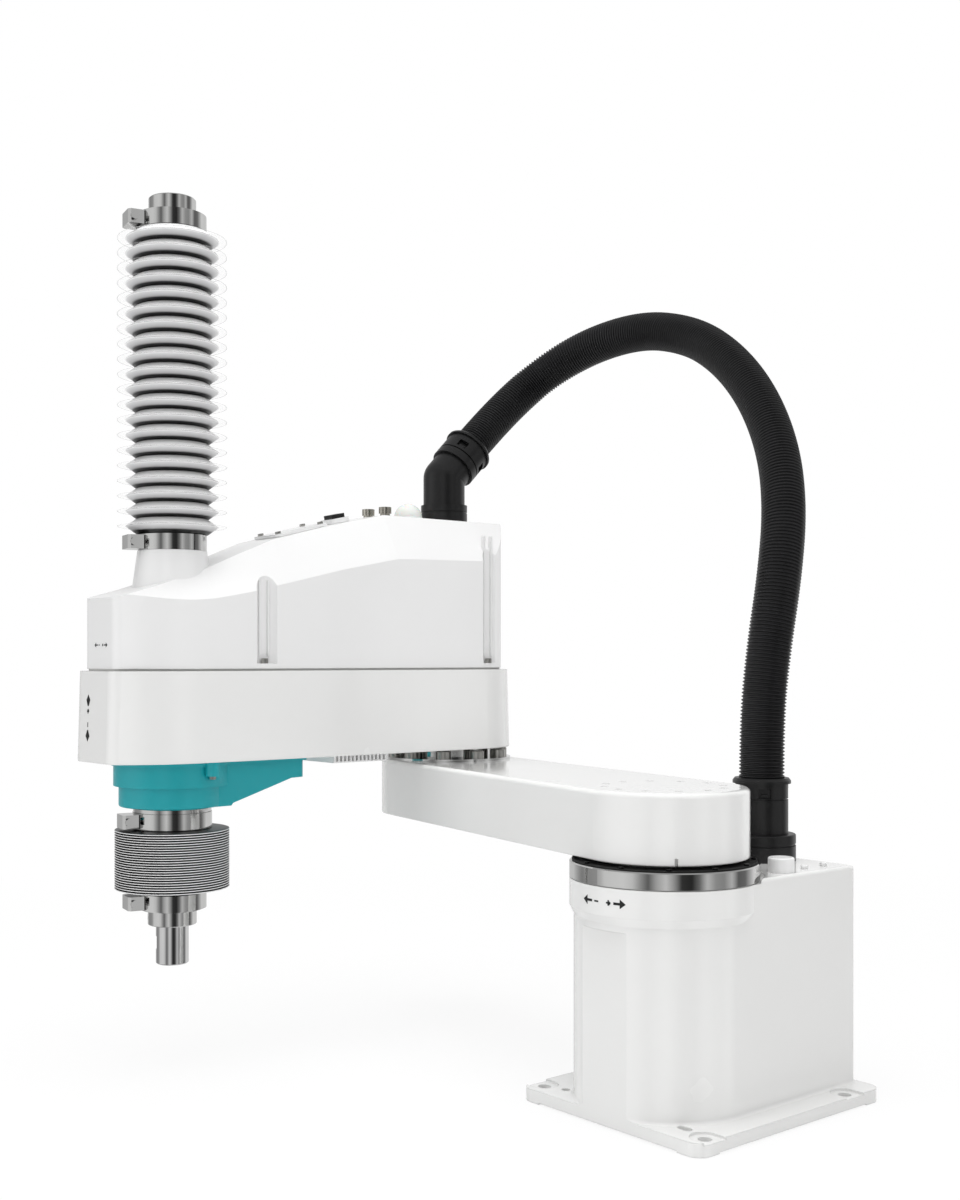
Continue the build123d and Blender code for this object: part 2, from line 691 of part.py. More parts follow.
# Finned vent block under link 2
vent = block(96, 150, -38, 38, link_2_bottom - 6.6, link_2_bottom)
for i in range(13):
    for sign in (-1, 1):
        x = 99 + 3.9 * i
        vent -= block(x, x + 1.9, min(sign * 33, sign * 39), max(sign * 33, sign * 39),
                      link_2_bottom - 5.4, link_2_bottom - 1)
keep("vent_block", chamfer(vent.edges().filter_by(Axis.Z).sort_by(Axis.X)[:1], 0.5), link_2_place)


# Motors, pulleys and belts inside link 2
def wrist_motor(x, low, high):
    """Square servo motor with a round face and a cable outlet."""
    half = wrist_motor_side / 2
    body = block(x - half, x + half, -half, half, low, high)
    body = fillet(body.edges().filter_by(Axis.Z), 5)
    return body


motor_low = casting_floor_top
j3_pulley_low = link_2_band_top - 3.0
j2_motor = disc(31, motor_low, motor_low + 8) + disc(27, motor_low + 8, motor_low + 96)
j2_motor += disc(24, motor_low + 96, motor_low + 122)
j2_motor = fillet(j2_motor.edges().group_by(Axis.Z)[-1], 3)
keep("j2_motor", j2_motor + disc(j2_shaft_radius, j2_shaft_low, motor_low), link_2_place)
j3_motor = wrist_motor(j3_motor_x, motor_low, j3_pulley_low - 6)
j3_motor += disc(4, j3_pulley_low - 6, j3_pulley_low + belt_width + 3, j3_motor_x)
keep("j3_motor", j3_motor, link_2_place)
j4_motor = wrist_motor(j4_motor_x, motor_low, j3_pulley_low - 6)
j4_pulley_low = link_2_bottom - 12.0
j4_motor += disc(4, j4_pulley_low - 1, motor_low, j4_motor_x)
keep("j4_motor", j4_motor, link_2_place)


def toothed_pulley(radius, bore, low, x):
    """Timing pulley with flanges and a toothed rim."""
    wheel = disc(radius - 1.2, low, low + belt_width, x)
    wheel += disc(radius, low - 1, low, x) + disc(radius, low + belt_width, low + belt_width + 1, x)
    return wheel - disc(bore, low - 2, low + belt_width + 2, x)


def belt_loop(from_x, to_x, big, small, low):
    """Timing belt round two pulleys on the link's centre line."""
    def stadium(extra):
        left = Pos(to_x, 0) * Circle(small + extra)
        right = Pos(from_x, 0) * Circle(big + extra)
        return make_hull((left + right).edges())
    clear = -1.2 + 0.25
    outer = extrude(stadium(clear + belt_thickness), belt_width - 0.6)
    inner = extrude(stadium(clear), belt_width - 0.6)
    return Pos(0, 0, low + 0.3) * (outer - inner)


keep("j3_motor_pulley", toothed_pulley(motor_pulley_radius, 4 + running_gap, j3_pulley_low, j3_motor_x),
     link_2_place)
keep("j4_motor_pulley", toothed_pulley(motor_pulley_radius, 4 + running_gap, j4_pulley_low, j4_motor_x),
     link_2_place)
keep("j3_belt", belt_loop(tool_x, j3_motor_x, pulley_radius, motor_pulley_radius, j3_pulley_low),
     link_2_place)
keep("j4_belt", belt_loop(tool_x, j4_motor_x, pulley_radius, motor_pulley_radius, j4_pulley_low),
     link_2_place)

# Nuts on the quill: the spline nut low in the casting, the ball screw nut above it
nut_bore = shaft_radius + running_gap
spline_nut_top = nut_split - nut_gap / 2
screw_nut_low = nut_split + nut_gap / 2
keep("spline_nut", tube(nut_radius, nut_bore, spline_nut_top - spline_nut_length, spline_nut_top, tool_x),
     link_2_place)
keep("spline_nut_pulley", toothed_pulley(pulley_radius, nut_radius, j4_pulley_low, tool_x), link_2_place)
keep("ball_screw_nut", tube(nut_radius, nut_bore, screw_nut_low, screw_nut_low + screw_nut_length, tool_x),
     link_2_place)
keep("screw_nut_pulley", toothed_pulley(pulley_radius, nut_radius, j3_pulley_low, tool_x), link_2_place)
housing_top = j3_pulley_low - 2
housing = disc(housing_radius, housing_low, housing_top, tool_x)
housing += disc(housing_spigot_radius, link_2_bottom + 1, housing_low + 1, tool_x)
housing -= disc(nut_radius + running_gap, link_2_bottom, housing_top + 1, tool_x)
housing -= disc(nut_radius + 8, nut_split - 3, nut_split + 3, tool_x)
keep("bearing_housing", housing, link_2_place)
neck = tube(neck_ring_radius, neck_ring_bore, neck_ring_bottom, neck_ring_flange_bottom + 1, tool_x)
keep("neck_ring", neck + tube(neck_ring_flange_radius, neck_ring_bore, neck_ring_flange_bottom, flange_seat,
                              tool_x), link_2_place)


# Bellows and clamps
def bellows(low, high, folds, crest, root, cuffs):
    """Bellows of sharp folds with a cuff, given as (radius, low, high), at each end."""
    pitch = (high - low) / folds
    outer = [(root, low)]
    for i in range(folds):
        outer += [(crest, low + (i + 0.5) * pitch), (root, low + (i + 1) * pitch)]
    bore = root - bellows_wall
    half = make_face(Polyline(*[(r, 0, z) for r, z in outer + [(bore, high), (bore, low)]], close=True))
    sleeve = revolve(half, Axis.Z)
    for end, (radius, cuff_low, cuff_high) in zip((low, high), cuffs):
        sleeve += tube(radius, radius - bellows_wall, cuff_low, cuff_high)
        sleeve += tube(root, radius - bellows_wall, end - bellows_wall / 2, end + bellows_wall / 2)
    return Pos(tool_x, 0, 0) * sleeve


def hose_clamp(cuff_radius, low, turn=clamp_block_angle):
    """Band clamp with its screw block, round a bellows cuff."""
    inner = cuff_radius + 0.02
    band_ring = tube(inner + clamp_band, inner, low, low + clamp_height)
    depth, width, height = clamp_block
    housing_box = Pos(inner + depth / 2, 0, low + clamp_height / 2) * Box(depth, width, height)
    housing_box = chamfer(housing_box.edges().filter_by(Axis.Z).sort_by(Axis.X)[-2:], 2)
    housing_box -= disc(inner + 0.2, low - 1, low + clamp_height + 1)
    screw = Pos(inner + depth * 0.62, 0, low + clamp_height / 2) * Rot(90, 0, 0) * Cylinder(3.1, width + 5)
    return Pos(tool_x, 0, 0) * Rot(0, 0, turn) * (band_ring + housing_box + screw)


upper_cuff = boss_neck_radius + bellows_wall + 0.02
top_cuff = bearing_radius + bellows_wall + 0.02
low_cuff = neck_ring_radius + bellows_wall + 0.02
foot_cuff = bearing_radius + bellows_wall + 0.02
keep("upper_bellows", bellows(
    upper_bellows_bottom, upper_bellows_top, upper_bellows_folds, bellows_radius_upper,
    bellows_root_radius, [(upper_cuff, boss_top + 0.3, upper_bellows_bottom + 0.5),
                          (top_cuff, upper_bellows_top - 0.5, top_cap_bottom - 0.3)]), link_2_place)
keep("lower_bellows", bellows(
    lower_bellows_bottom, lower_bellows_top, lower_bellows_folds, bellows_radius_lower,
    bellows_root_lower, [(foot_cuff, collar_high + 1.2, lower_bellows_bottom + 0.5),
                         (low_cuff, lower_bellows_top - 0.5, neck_ring_flange_bottom - 0.3)]),
    link_2_place)
keep("boss_clamp", hose_clamp(upper_cuff, boss_top + 0.1), link_2_place)
keep("top_clamp", hose_clamp(top_cuff, upper_bellows_top + clamp_gap), link_2_place)
keep("neck_clamp", hose_clamp(low_cuff, lower_bellows_top + clamp_gap), link_2_place)
keep("foot_clamp", hose_clamp(foot_cuff, collar_high + 1.3), link_2_place)
bearing_bore = shaft_radius + running_gap
keep("top_bearing_ring", tube(bearing_radius, bearing_bore, upper_bellows_top - bellows_wall - 0.2,
                              top_cap_bottom - seat_gap, tool_x), link_2_place)
keep("bottom_bearing_ring", tube(bearing_radius, bearing_bore, collar_high + 0.3,
                                 lower_bellows_bottom + 1.0, tool_x), link_2_place)

# Quill shaft, cap and collar
quill_place = link_2_place * Pos(tool_x, 0, 0)
shaft = tube(shaft_radius, shaft_bore, shaft_bottom, top_cap_top - 2)
shaft = chamfer(shaft.edges().group_by(Axis.Z)[0].sort_by(lambda e: e.radius)[-1], 0.8)
shaft -= block(shaft_radius - shaft_flat_depth, shaft_radius + 2, -8, 8, shaft_flat_bottom, shaft_flat_top)
shaft -= tube(shaft_radius + 1, shaft_radius - shaft_groove, collar_low, collar_low + 1)
keep("quill_shaft", shaft, quill_place * Rot(0, 0, shaft_flat_heading))
cap_ring = tube(top_cap_radius, shaft_radius + 0.02, top_cap_bottom, top_cap_top - 2, tool_x)
cap_ring += tube(top_cap_radius, shaft_bore, top_cap_top - 2, top_cap_top, tool_x)
cap_ring -= Pos(tool_x, 0, 0) * Rot(0, 0, -48) * Pos(top_cap_radius, 0, top_cap_bottom + 5) * Box(3, 3, 4)
keep("top_cap", chamfer(cap_ring.edges().group_by(Axis.Z)[-1].sort_by(lambda e: e.radius)[-1], 0.8),
     link_2_place)
stop = tube(collar_radius, shaft_radius + 0.02, collar_low, collar_high, tool_x)
stop = chamfer(stop.edges().filter_by(GeomType.CIRCLE).sort_by(lambda e: -e.radius)[:2], 0.6)
set_screw = Pos(tool_x, 0, 0) * Rot(0, 0, -25) * Pos(15.6, 0, (collar_low + collar_high) / 2) * Rot(
    0, 90, 0) * Cylinder(2.1, 8)
keep("stop_collar", stop - set_screw, link_2_place)

# Fittings on the cover's roof
lamp_seat = cover_top + lamp_base_height
lamp = disc(lamp_radius + 1.2, cover_top, lamp_seat, lamp_x)
lamp = chamfer(lamp.edges().group_by(Axis.Z)[-1], 0.5)
lamp += Pos(lamp_x, 0, lamp_seat) * Sphere(lamp_radius) & disc(lamp_radius, lamp_seat - 1, cover_top + 20, lamp_x)
keep("signal_lamp", lamp, link_2_place)
fittings = []
for sign in (-1, 1):
    y = sign * air_fitting_y
    body = disc(air_fitting_radius - 1.2, cover_top, cover_top + 3, air_fitting_x, y)
    knob = disc(air_fitting_radius, cover_top + 3, cover_top + air_fitting_height, air_fitting_x, y)
    for x2, y2 in on_circle(air_fitting_radius, 10):
        knob -= disc(0.5, cover_top, cover_top + 20, air_fitting_x + x2, y + y2)
    body += knob
    fittings.append(body - disc(2.0, cover_top + 2, cover_top + 20, air_fitting_x, y))
keep("air_fittings", Compound(children=fittings), link_2_place)


def on_slope(x):
    """Place at a point of the roof's centre line, tilted with the roof there."""
    for (x1, s1, z1, w1), (x2, s2, z2, w2) in zip(roof_stations, roof_stations[1:]):
        if x2 <= x <= x1:
            share = (x - x2) / (x1 - x2)
            tilt = Vector(x1 - x2, 0, z1 - z2).get_angle(Vector(1, 0, 0))
            return Pos(x, 0, z2 + share * (z1 - z2)) * Rot(0, tilt, 0)
    return Pos(x, 0, cover_top)


access = extrude(RectangleRounded(access_length, access_width, 4), access_thickness)
keep("access_plate", on_slope(access_x) * Pos(0, 0, 0.15) * access, link_2_place)
access_points = [(x, y) for x in (-access_length / 2 + 5, access_length / 2 - 5)
                 for y in (-access_width / 2 + 5, access_width / 2 - 5)]
keep("access_plate_screws", on_slope(access_x) * Pos(0, 0, 0.15 + access_thickness) * screw_heads(
    access_points, 0, 2.4, 1.8), link_2_place)
button_place = on_slope(button_x)
frame_l, frame_w, frame_h = button_housing
cap_l, cap_w, cap_h = button_cap
button_frame = Pos(0, 0, 0.15) * extrude(RectangleRounded(frame_l, frame_w, 2), frame_h)
button_well = Pos(0, 0, frame_h - 3.2) * extrude(
    RectangleRounded(cap_l + 2 * seat_gap, cap_w + 2 * seat_gap, 1.5), 10)
keep("button_frame", button_place * (button_frame - button_well), link_2_place)
button = Pos(0, 0, frame_h - 3.2 + button_travel + seat_gap) * extrude(
    RectangleRounded(cap_l, cap_w, 1.2), cap_h)
keep("brake_release_button", button_place * button, link_2_place)

# Conduit elbow on link 2: foot ring, bend towards the rear at 45 degrees and a lock collar
bend = cover_top + elbow_bend_height
slant = Pos(elbow_x, 0, bend) * Rot(0, -45, 0)
elbow = disc(elbow_ring_radius, cover_top, cover_top + elbow_ring_height, elbow_x)
elbow -= tube(elbow_ring_radius + 1, elbow_ring_radius - 1, cover_top + 8.4, cover_top + 9.6, elbow_x)
elbow += disc(elbow_tube_radius, cover_top, bend, elbow_x)
elbow += Pos(elbow_x, 0, bend) * Sphere(elbow_tube_radius)
elbow += slant * disc(elbow_tube_radius, 0, elbow_reach - elbow_collar_length)
elbow -= disc(conduit_bore, cover_top - 1, bend, elbow_x)
elbow -= Pos(elbow_x, 0, bend) * Sphere(conduit_bore)
elbow -= slant * disc(conduit_bore, 0, elbow_reach)
keep("conduit_elbow", elbow, link_2_place)
high_collar = lock_collar(elbow_collar_radius, elbow_collar_length - 6, elbow_collar_radius + 1.6)
high_collar -= disc(conduit_diameter / 2 + seat_gap, elbow_collar_length - 8, elbow_collar_length + 8)
keep("elbow_lock_collar", slant * Pos(0, 0, elbow_reach - elbow_collar_length) * high_collar, link_2_place)


# Conduit: two runs that meet at the top of the arch
def bend_radii(points):
    """Largest arcs that leave a tenth of each shorter run straight."""
    radii = []
    for before, corner, after in zip(points, points[1:], points[2:]):
        half_turn = radians((corner - before).get_angle(after - corner) / 2)
        shorter = min((corner - before).length, (after - corner).length)
        radii.append(0.45 * shorter * cos(half_turn) / sin(half_turn))
    return radii


def conduit_run(points, radii):
    """Round tube along straight runs joined by tangent arcs."""
    path = FilletPolyline(*points, radius=radii)
    start = Plane(origin=path @ 0, z_dir=path % 0)
    print("conduit radii", [round(r) for r in radii], "length", round(path.length, 1))
    return sweep(start * Circle(conduit_diameter / 2), path=path)


exit_vector = Vector(-sin(radians(45)), 0, cos(radians(45)))
exit_point = Vector(j2_x + elbow_x, j2_y, bend) + exit_vector * (elbow_reach - 8)
approach = exit_point + exit_vector * conduit_lead
route = [Vector(*p) for p in conduit_route] + [approach, exit_point]
arch_index = 8
arch_run = route[arch_index + 1] - route[arch_index]
arch_top = route[arch_index] + arch_run * 0.5
half_seam = arch_run.normalized() * (conduit_seam / 2)
bends = bend_radii(route)
keep("conduit_lower", conduit_run(route[:arch_index + 1] + [arch_top - half_seam], bends[:arch_index]))
keep("conduit_upper", conduit_run([arch_top + half_seam] + route[arch_index + 1:], bends[arch_index:]))

os.makedirs("parts", exist_ok=True)
for name, shape in nodes.items():
    export_step(shape, f"parts/{name}.step")
print(len(nodes), "nodes")
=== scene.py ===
# %% [markdown]
# # A four-axis arm robot, dressed for its portrait
# The metal and plastic solids of the robot arrive ready-made, each in its true place and size. What is
# left for Blender is what a solid can't say well: the corrugated conduit, the folds of the two bellows,
# the small marks on the paint, and the finish of every surface. Everything is in metres.

# %% Load the robot
import json
import math
import bmesh
import bpy
from mathutils import Matrix, Vector
from mathutils.bvhtree import BVHTree


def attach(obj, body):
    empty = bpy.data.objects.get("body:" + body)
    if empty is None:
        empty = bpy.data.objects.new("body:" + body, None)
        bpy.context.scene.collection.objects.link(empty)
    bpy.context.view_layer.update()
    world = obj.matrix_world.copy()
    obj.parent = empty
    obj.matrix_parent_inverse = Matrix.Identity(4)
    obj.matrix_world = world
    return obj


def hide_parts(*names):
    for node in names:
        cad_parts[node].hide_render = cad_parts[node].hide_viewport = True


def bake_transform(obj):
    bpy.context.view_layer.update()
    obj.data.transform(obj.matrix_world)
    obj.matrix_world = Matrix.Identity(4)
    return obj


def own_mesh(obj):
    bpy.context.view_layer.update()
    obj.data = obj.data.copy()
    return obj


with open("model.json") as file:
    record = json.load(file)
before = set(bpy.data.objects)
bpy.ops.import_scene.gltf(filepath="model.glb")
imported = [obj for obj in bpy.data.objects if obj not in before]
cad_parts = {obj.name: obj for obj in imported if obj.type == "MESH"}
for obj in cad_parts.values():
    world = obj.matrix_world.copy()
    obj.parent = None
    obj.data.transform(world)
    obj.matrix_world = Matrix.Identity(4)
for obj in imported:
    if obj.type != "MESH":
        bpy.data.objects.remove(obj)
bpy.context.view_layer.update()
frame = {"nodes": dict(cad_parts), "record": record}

nodes = frame["nodes"]

# %% [markdown]
# The camera stands level, a little above the first link, and looks at the robot from its front left.
# A level camera keeps upright edges upright, as product photographers like it, so the picture is moved
# with the lens shift instead of a tilt. The numbers come from a fit of straight edges in the photograph.

# %% Camera
picture_width, picture_height = 960, 1200
focal_px = 1450.76
centre_px = (449.16, 659.05)
heading = 0.88179
camera_data = bpy.data.cameras.new("portrait_lens")
camera = bpy.data.objects.new("portrait_camera", camera_data)
bpy.context.scene.collection.objects.link(camera)
bpy.context.scene.camera = camera
bpy.context.scene.view_settings.view_transform = "Standard"
camera_data.sensor_fit = "VERTICAL"
camera_data.sensor_height = 36.0
camera_data.lens = focal_px / picture_height * 36.0
camera_data.shift_x = (picture_width / 2 - centre_px[0]) / picture_height
camera_data.shift_y = (centre_px[1] - picture_height / 2) / picture_height
camera_data.clip_start = 0.05
camera.location = (0.7538, 0.6811, 0.3124)
camera.rotation_euler = (math.pi / 2, 0.0, math.pi / 2 + heading)
print("lens", round(camera_data.lens, 2), "mm")

# %% [markdown]
# The links' angles and lengths place everything that hangs on the arm. The second joint lies at the end
# of the first link, and the quill at the end of the second.

# %% Places on the arm
mm = 0.001
link_1_length = 325 * mm
link_2_length = 275 * mm
link_1_angle = math.radians(-102.0)
elbow_joint = Vector((link_1_length * math.cos(link_1_angle), link_1_length * math.sin(link_1_angle), 0))
quill = elbow_joint + Vector((link_2_length, 0, 0))
print("quill axis at", [round(v, 4) for v in quill[:2]])


# %% [markdown]
# Every finish below is a small network of nodes. One helper adds a node with its settings and its links,
# and another turns the hex colours that a painter would pick into the linear values that light needs.

# %% Helpers for finishes
def linear(hex_colour):
    """sRGB hex string to a linear colour with alpha."""
    channels = [int(hex_colour[i:i + 2], 16) / 255 for i in (1, 3, 5)]
    return [c / 12.92 if c <= 0.04045 else ((c + 0.055) / 1.055) ** 2.4 for c in channels] + [1.0]


def add_node(tree, kind, settings=None, links=None):
    """Adds one node; a setting is an input socket's value or a property, a link is socket: source."""
    node = tree.nodes.new(kind)
    for name, value in (settings or {}).items():
        if hasattr(node, name):
            setattr(node, name, value)
    for name, value in (settings or {}).items():
        if not hasattr(node, name):
            node.inputs[name].default_value = value
    for name, source in (links or {}).items():
        tree.links.new(source, node.inputs[name])
    return node


def finish_of(name, colour, roughness, metallic=0.0, **shader):
    """A new material with a Principled shader, ready for its patterns."""
    material = bpy.data.materials.new(name)
    material.use_nodes = True
    tree = material.node_tree
    surface = tree.nodes["Principled BSDF"]
    surface.inputs["Base Color"].default_value = linear(colour)
    surface.inputs["Roughness"].default_value = roughness
    surface.inputs["Metallic"].default_value = metallic
    for socket, value in shader.items():
        surface.inputs[socket.replace("_", " ")].default_value = value
    return material, tree, surface


def two_tone(tree, surface, pattern, low, high, socket="Base Color"):
    """Colours the surface between two tones by a grey pattern."""
    mix = add_node(tree, "ShaderNodeMix", {"data_type": "RGBA"}, {"Factor": pattern})
    mix.inputs[6].default_value = linear(low)
    mix.inputs[7].default_value = linear(high)
    tree.links.new(mix.outputs[2], surface.inputs[socket])


def roughness_between(tree, surface, pattern, low, high):
    """Varies the gloss between two roughness values by a grey pattern."""
    spread = add_node(tree, "ShaderNodeMapRange", {"To Min": low, "To Max": high}, {"Value": pattern})
    tree.links.new(spread.outputs["Result"], surface.inputs["Roughness"])


def bumped(tree, surface, pattern, height, strength=1.0, edge=0.0):
    """Raises the surface by a grey pattern, in metres, and rounds its edges' shading by a radius."""
    bump = add_node(tree, "ShaderNodeBump", {"Strength": strength, "Distance": height}, {"Height": pattern})
    if edge:
        rounding = add_node(tree, "ShaderNodeBevel", {"Radius": edge})
        tree.links.new(rounding.outputs["Normal"], bump.inputs["Normal"])
    tree.links.new(bump.outputs["Normal"], surface.inputs["Normal"])


# %% [markdown]
# **Stove enamel on cast aluminium.** The links and the base are castings, primed, filled and sprayed with
# a glossy white enamel. Sprayed paint is never dead flat: it dries to a faint orange peel with dimples
# about 2.5 mm apart, which softens the edges of every reflection. Its gloss also varies a little where
# hands and cloths have been. Paint also pulls back from a sharp corner and leaves it round, so the shading
# rounds every edge by a little over a millimetre.

# %% Enamel
peel_spacing = 2.5 * mm
enamel_edge = 1.3 * mm
enamel, tree, surface = finish_of("stove_enamel_white", "#EFEFEE", 0.24, Coat_Weight=0.9)
surface.inputs["Coat Roughness"].default_value = 0.1
place = add_node(tree, "ShaderNodeTexCoord")
peel = add_node(tree, "ShaderNodeTexNoise", {"Scale": 1 / peel_spacing, "Detail": 1.0},
                {"Vector": place.outputs["Object"]})
patches = add_node(tree, "ShaderNodeTexNoise", {"Scale": 14.0, "Detail": 4.0},
                   {"Vector": place.outputs["Object"]})
roughness_between(tree, surface, patches.outputs["Fac"], 0.19, 0.31)
two_tone(tree, surface, patches.outputs["Fac"], "#EDEDEC", "#F1F1F0")
bumped(tree, surface, peel.outputs["Fac"], 0.012 * mm, 0.35, enamel_edge)
print("enamel peel every", peel_spacing / mm, "mm")

# %% [markdown]
# **Moulded ABS, painted white.** The upper cover is a plastic moulding in the same white. It is a shade
# softer than the castings, with a finer grain of about 0.8 mm left by the tool.

# %% White moulding
moulding_edge = 1.0 * mm
moulded_white, tree, surface = finish_of("abs_moulding_white", "#F1F1F1", 0.3, Coat_Weight=0.5)
surface.inputs["Coat Roughness"].default_value = 0.15
place = add_node(tree, "ShaderNodeTexCoord")
grain = add_node(tree, "ShaderNodeTexNoise", {"Scale": 1 / (0.8 * mm), "Detail": 2.0},
                 {"Vector": place.outputs["Object"]})
haze = add_node(tree, "ShaderNodeTexNoise", {"Scale": 9.0, "Detail": 3.0},
                {"Vector": place.outputs["Object"]})
roughness_between(tree, surface, haze.outputs["Fac"], 0.24, 0.38)
two_tone(tree, surface, haze.outputs["Fac"], "#EFEFEF", "#F3F3F3")
bumped(tree, surface, grain.outputs["Fac"], 0.006 * mm, 0.3, moulding_edge)

# %% [markdown]
# **Teal ABS.** The belt cover under the nose is moulded in a coloured plastic, left with the satin skin of
# the tool. A cloudy tone within the colour keeps it from looking like a flat swatch.

# %% Teal moulding
teal, tree, surface = finish_of("abs_moulding_teal", "#0B98A0", 0.36)
place = add_node(tree, "ShaderNodeTexCoord")
cloud = add_node(tree, "ShaderNodeTexNoise", {"Scale": 22.0, "Detail": 4.0},
                 {"Vector": place.outputs["Object"]})
grain = add_node(tree, "ShaderNodeTexNoise", {"Scale": 1 / (0.9 * mm), "Detail": 2.0},
                 {"Vector": place.outputs["Object"]})
two_tone(tree, surface, cloud.outputs["Fac"], "#0A9AA3", "#10A5AE")
roughness_between(tree, surface, cloud.outputs["Fac"], 0.3, 0.42)
bumped(tree, surface, grain.outputs["Fac"], 0.01 * mm, 0.35)

# %% [markdown]
# **Turned steel.** Rings, clamps, caps and collars come off a lathe. The tool leaves fine rings round the
# axis, real ones about 0.1 mm apart, drawn here every 0.6 mm so that they show. Seen side on, they are
# level lines, so a noise squeezed along Z makes them for every upright turned piece at once.


# %% Steel finishes
def turned_metal(name, low, high, rough_low, rough_high, line_spacing=0.6 * mm):
    """Metal with fine level tool lines and a slow change of tone round the piece."""
    material, tree, surface = finish_of(name, high, rough_low, 1.0)
    place = add_node(tree, "ShaderNodeTexCoord")
    squeeze = add_node(tree, "ShaderNodeMapping", {"Scale": (6.0, 6.0, 1 / line_spacing)},
                       {"Vector": place.outputs["Object"]})
    lines = add_node(tree, "ShaderNodeTexNoise", {"Scale": 1.0, "Detail": 3.0},
                     {"Vector": squeeze.outputs["Vector"]})
    tone = add_node(tree, "ShaderNodeTexNoise", {"Scale": 30.0, "Detail": 2.0},
                    {"Vector": place.outputs["Object"]})
    two_tone(tree, surface, tone.outputs["Fac"], low, high)
    roughness_between(tree, surface, lines.outputs["Fac"], rough_low, rough_high)
    bumped(tree, surface, lines.outputs["Fac"], 0.02 * mm, 0.25)
    return material


turned_steel = turned_metal("turned_steel", "#BDBDBC", "#D2D2D1", 0.04, 0.11)
ground_steel = turned_metal("ground_shaft_steel", "#C2C2C2", "#D6D6D6", 0.03, 0.08)
black_oxide = turned_metal("black_oxide_screw", "#1B1B1C", "#2A2A2B", 0.3, 0.45)
zinc_screw = turned_metal("zinc_plated_screw", "#9C9B97", "#BDBCB8", 0.22, 0.4)
nickel = turned_metal("nickel_plated_brass", "#B7B3A8", "#D0CDC4", 0.16, 0.3)
anodised = turned_metal("clear_anodised_aluminium", "#B4B6B9", "#C9CBCE", 0.3, 0.45)
print("steel, zinc, nickel and anodised finishes ready")

# %% [markdown]
# **Black rubber and nylon.** The conduit is a blown polyamide tube and its fittings are moulded from glass
# filled nylon. Both are dark and a little glossy, and dust greys them in patches. Gaskets and belts are
# plain matt rubber.

# %% Black finishes
def black_plastic(name, low, high, rough_low, rough_high, patch=60.0):
    """Dark plastic whose gloss and tone drift in patches."""
    material, tree, surface = finish_of(name, high, rough_low)
    place = add_node(tree, "ShaderNodeTexCoord")
    dust = add_node(tree, "ShaderNodeTexNoise", {"Scale": patch, "Detail": 5.0},
                    {"Vector": place.outputs["Object"]})
    grain = add_node(tree, "ShaderNodeTexNoise", {"Scale": 1 / (0.7 * mm), "Detail": 2.0},
                     {"Vector": place.outputs["Object"]})
    two_tone(tree, surface, dust.outputs["Fac"], low, high)
    roughness_between(tree, surface, dust.outputs["Fac"], rough_low, rough_high)
    bumped(tree, surface, grain.outputs["Fac"], 0.015 * mm, 0.3)
    return material


conduit_nylon = black_plastic("blown_polyamide_black", "#111112", "#1E1E20", 0.34, 0.5)
fitting_nylon = black_plastic("moulded_nylon_black", "#0A0A0B", "#151516", 0.3, 0.45)
printing_ink = black_plastic("printing_ink_black", "#080808", "#131313", 0.4, 0.55)
rubber = black_plastic("matt_rubber_black", "#101010", "#191919", 0.6, 0.8)
motor_paint = black_plastic("textured_motor_paint", "#161617", "#242426", 0.45, 0.6, 120.0)
pale_rubber = black_plastic("pale_seal_rubber", "#D2D2D0", "#DEDEDC", 0.5, 0.7)
milky, tree, surface = finish_of("milky_lamp_plastic", "#E6E6E3", 0.18)
place = add_node(tree, "ShaderNodeTexCoord")
haze = add_node(tree, "ShaderNodeTexNoise", {"Scale": 50.0, "Detail": 3.0},
                {"Vector": place.outputs["Object"]})
two_tone(tree, surface, haze.outputs["Fac"], "#DCDCD8", "#ECECEA")
surface.inputs["Subsurface Weight"].default_value = 0.2

# %% [markdown]
# Each solid gets the finish that its maker gave it. The list goes by the record's material slots, so that
# no solid can be forgotten.

# %% Dress the solids
finish_by_slot = {
    "white_paint": enamel, "white_plastic": moulded_white, "teal_plastic": teal,
    "bright_steel": turned_steel, "ground_steel": ground_steel, "black_rubber": rubber,
    "black_plastic": fitting_nylon, "bellows_light": rubber, "bellows_dark": rubber,
    "nickel_brass": nickel, "motor_black": motor_paint, "anodised": anodised, "lamp_plastic": milky,
}
for entry in frame["record"]["subparts"]:
    solid = nodes[entry["node"]]
    solid.data.materials.clear()
    solid.data.materials.append(finish_by_slot[entry["material_slot"]])
for name in ("ring_screws", "j2_reducer_screws", "panel_screws", "cover_screws", "belt_cover_screws",
             "access_plate_screws"):
    nodes[name].data.materials[0] = zinc_screw
nodes["ring_screws"].data.materials[0] = black_oxide
nodes["cover_gasket"].data.materials[0] = pale_rubber
nodes["cable_cap"].data.materials[0] = moulded_white
nodes["access_plate"].data.materials[0] = moulded_white
print(len(nodes), "solids dressed")


# %% [markdown]
# Pieces made in Blender are plain meshes at the origin with their place in their vertices. What repeats is
# made by Geometry Nodes: one fold or one rib is drawn once and the tree repeats it. The result is turned
# into a plain mesh.

# %% Helpers for meshes and repeats
def new_piece(name, mesh, material=None):
    """Links a mesh object and gives it its finish."""
    piece = bpy.data.objects.new(name, mesh)
    bpy.context.scene.collection.objects.link(piece)
    if material:
        mesh.materials.append(material)
    return piece


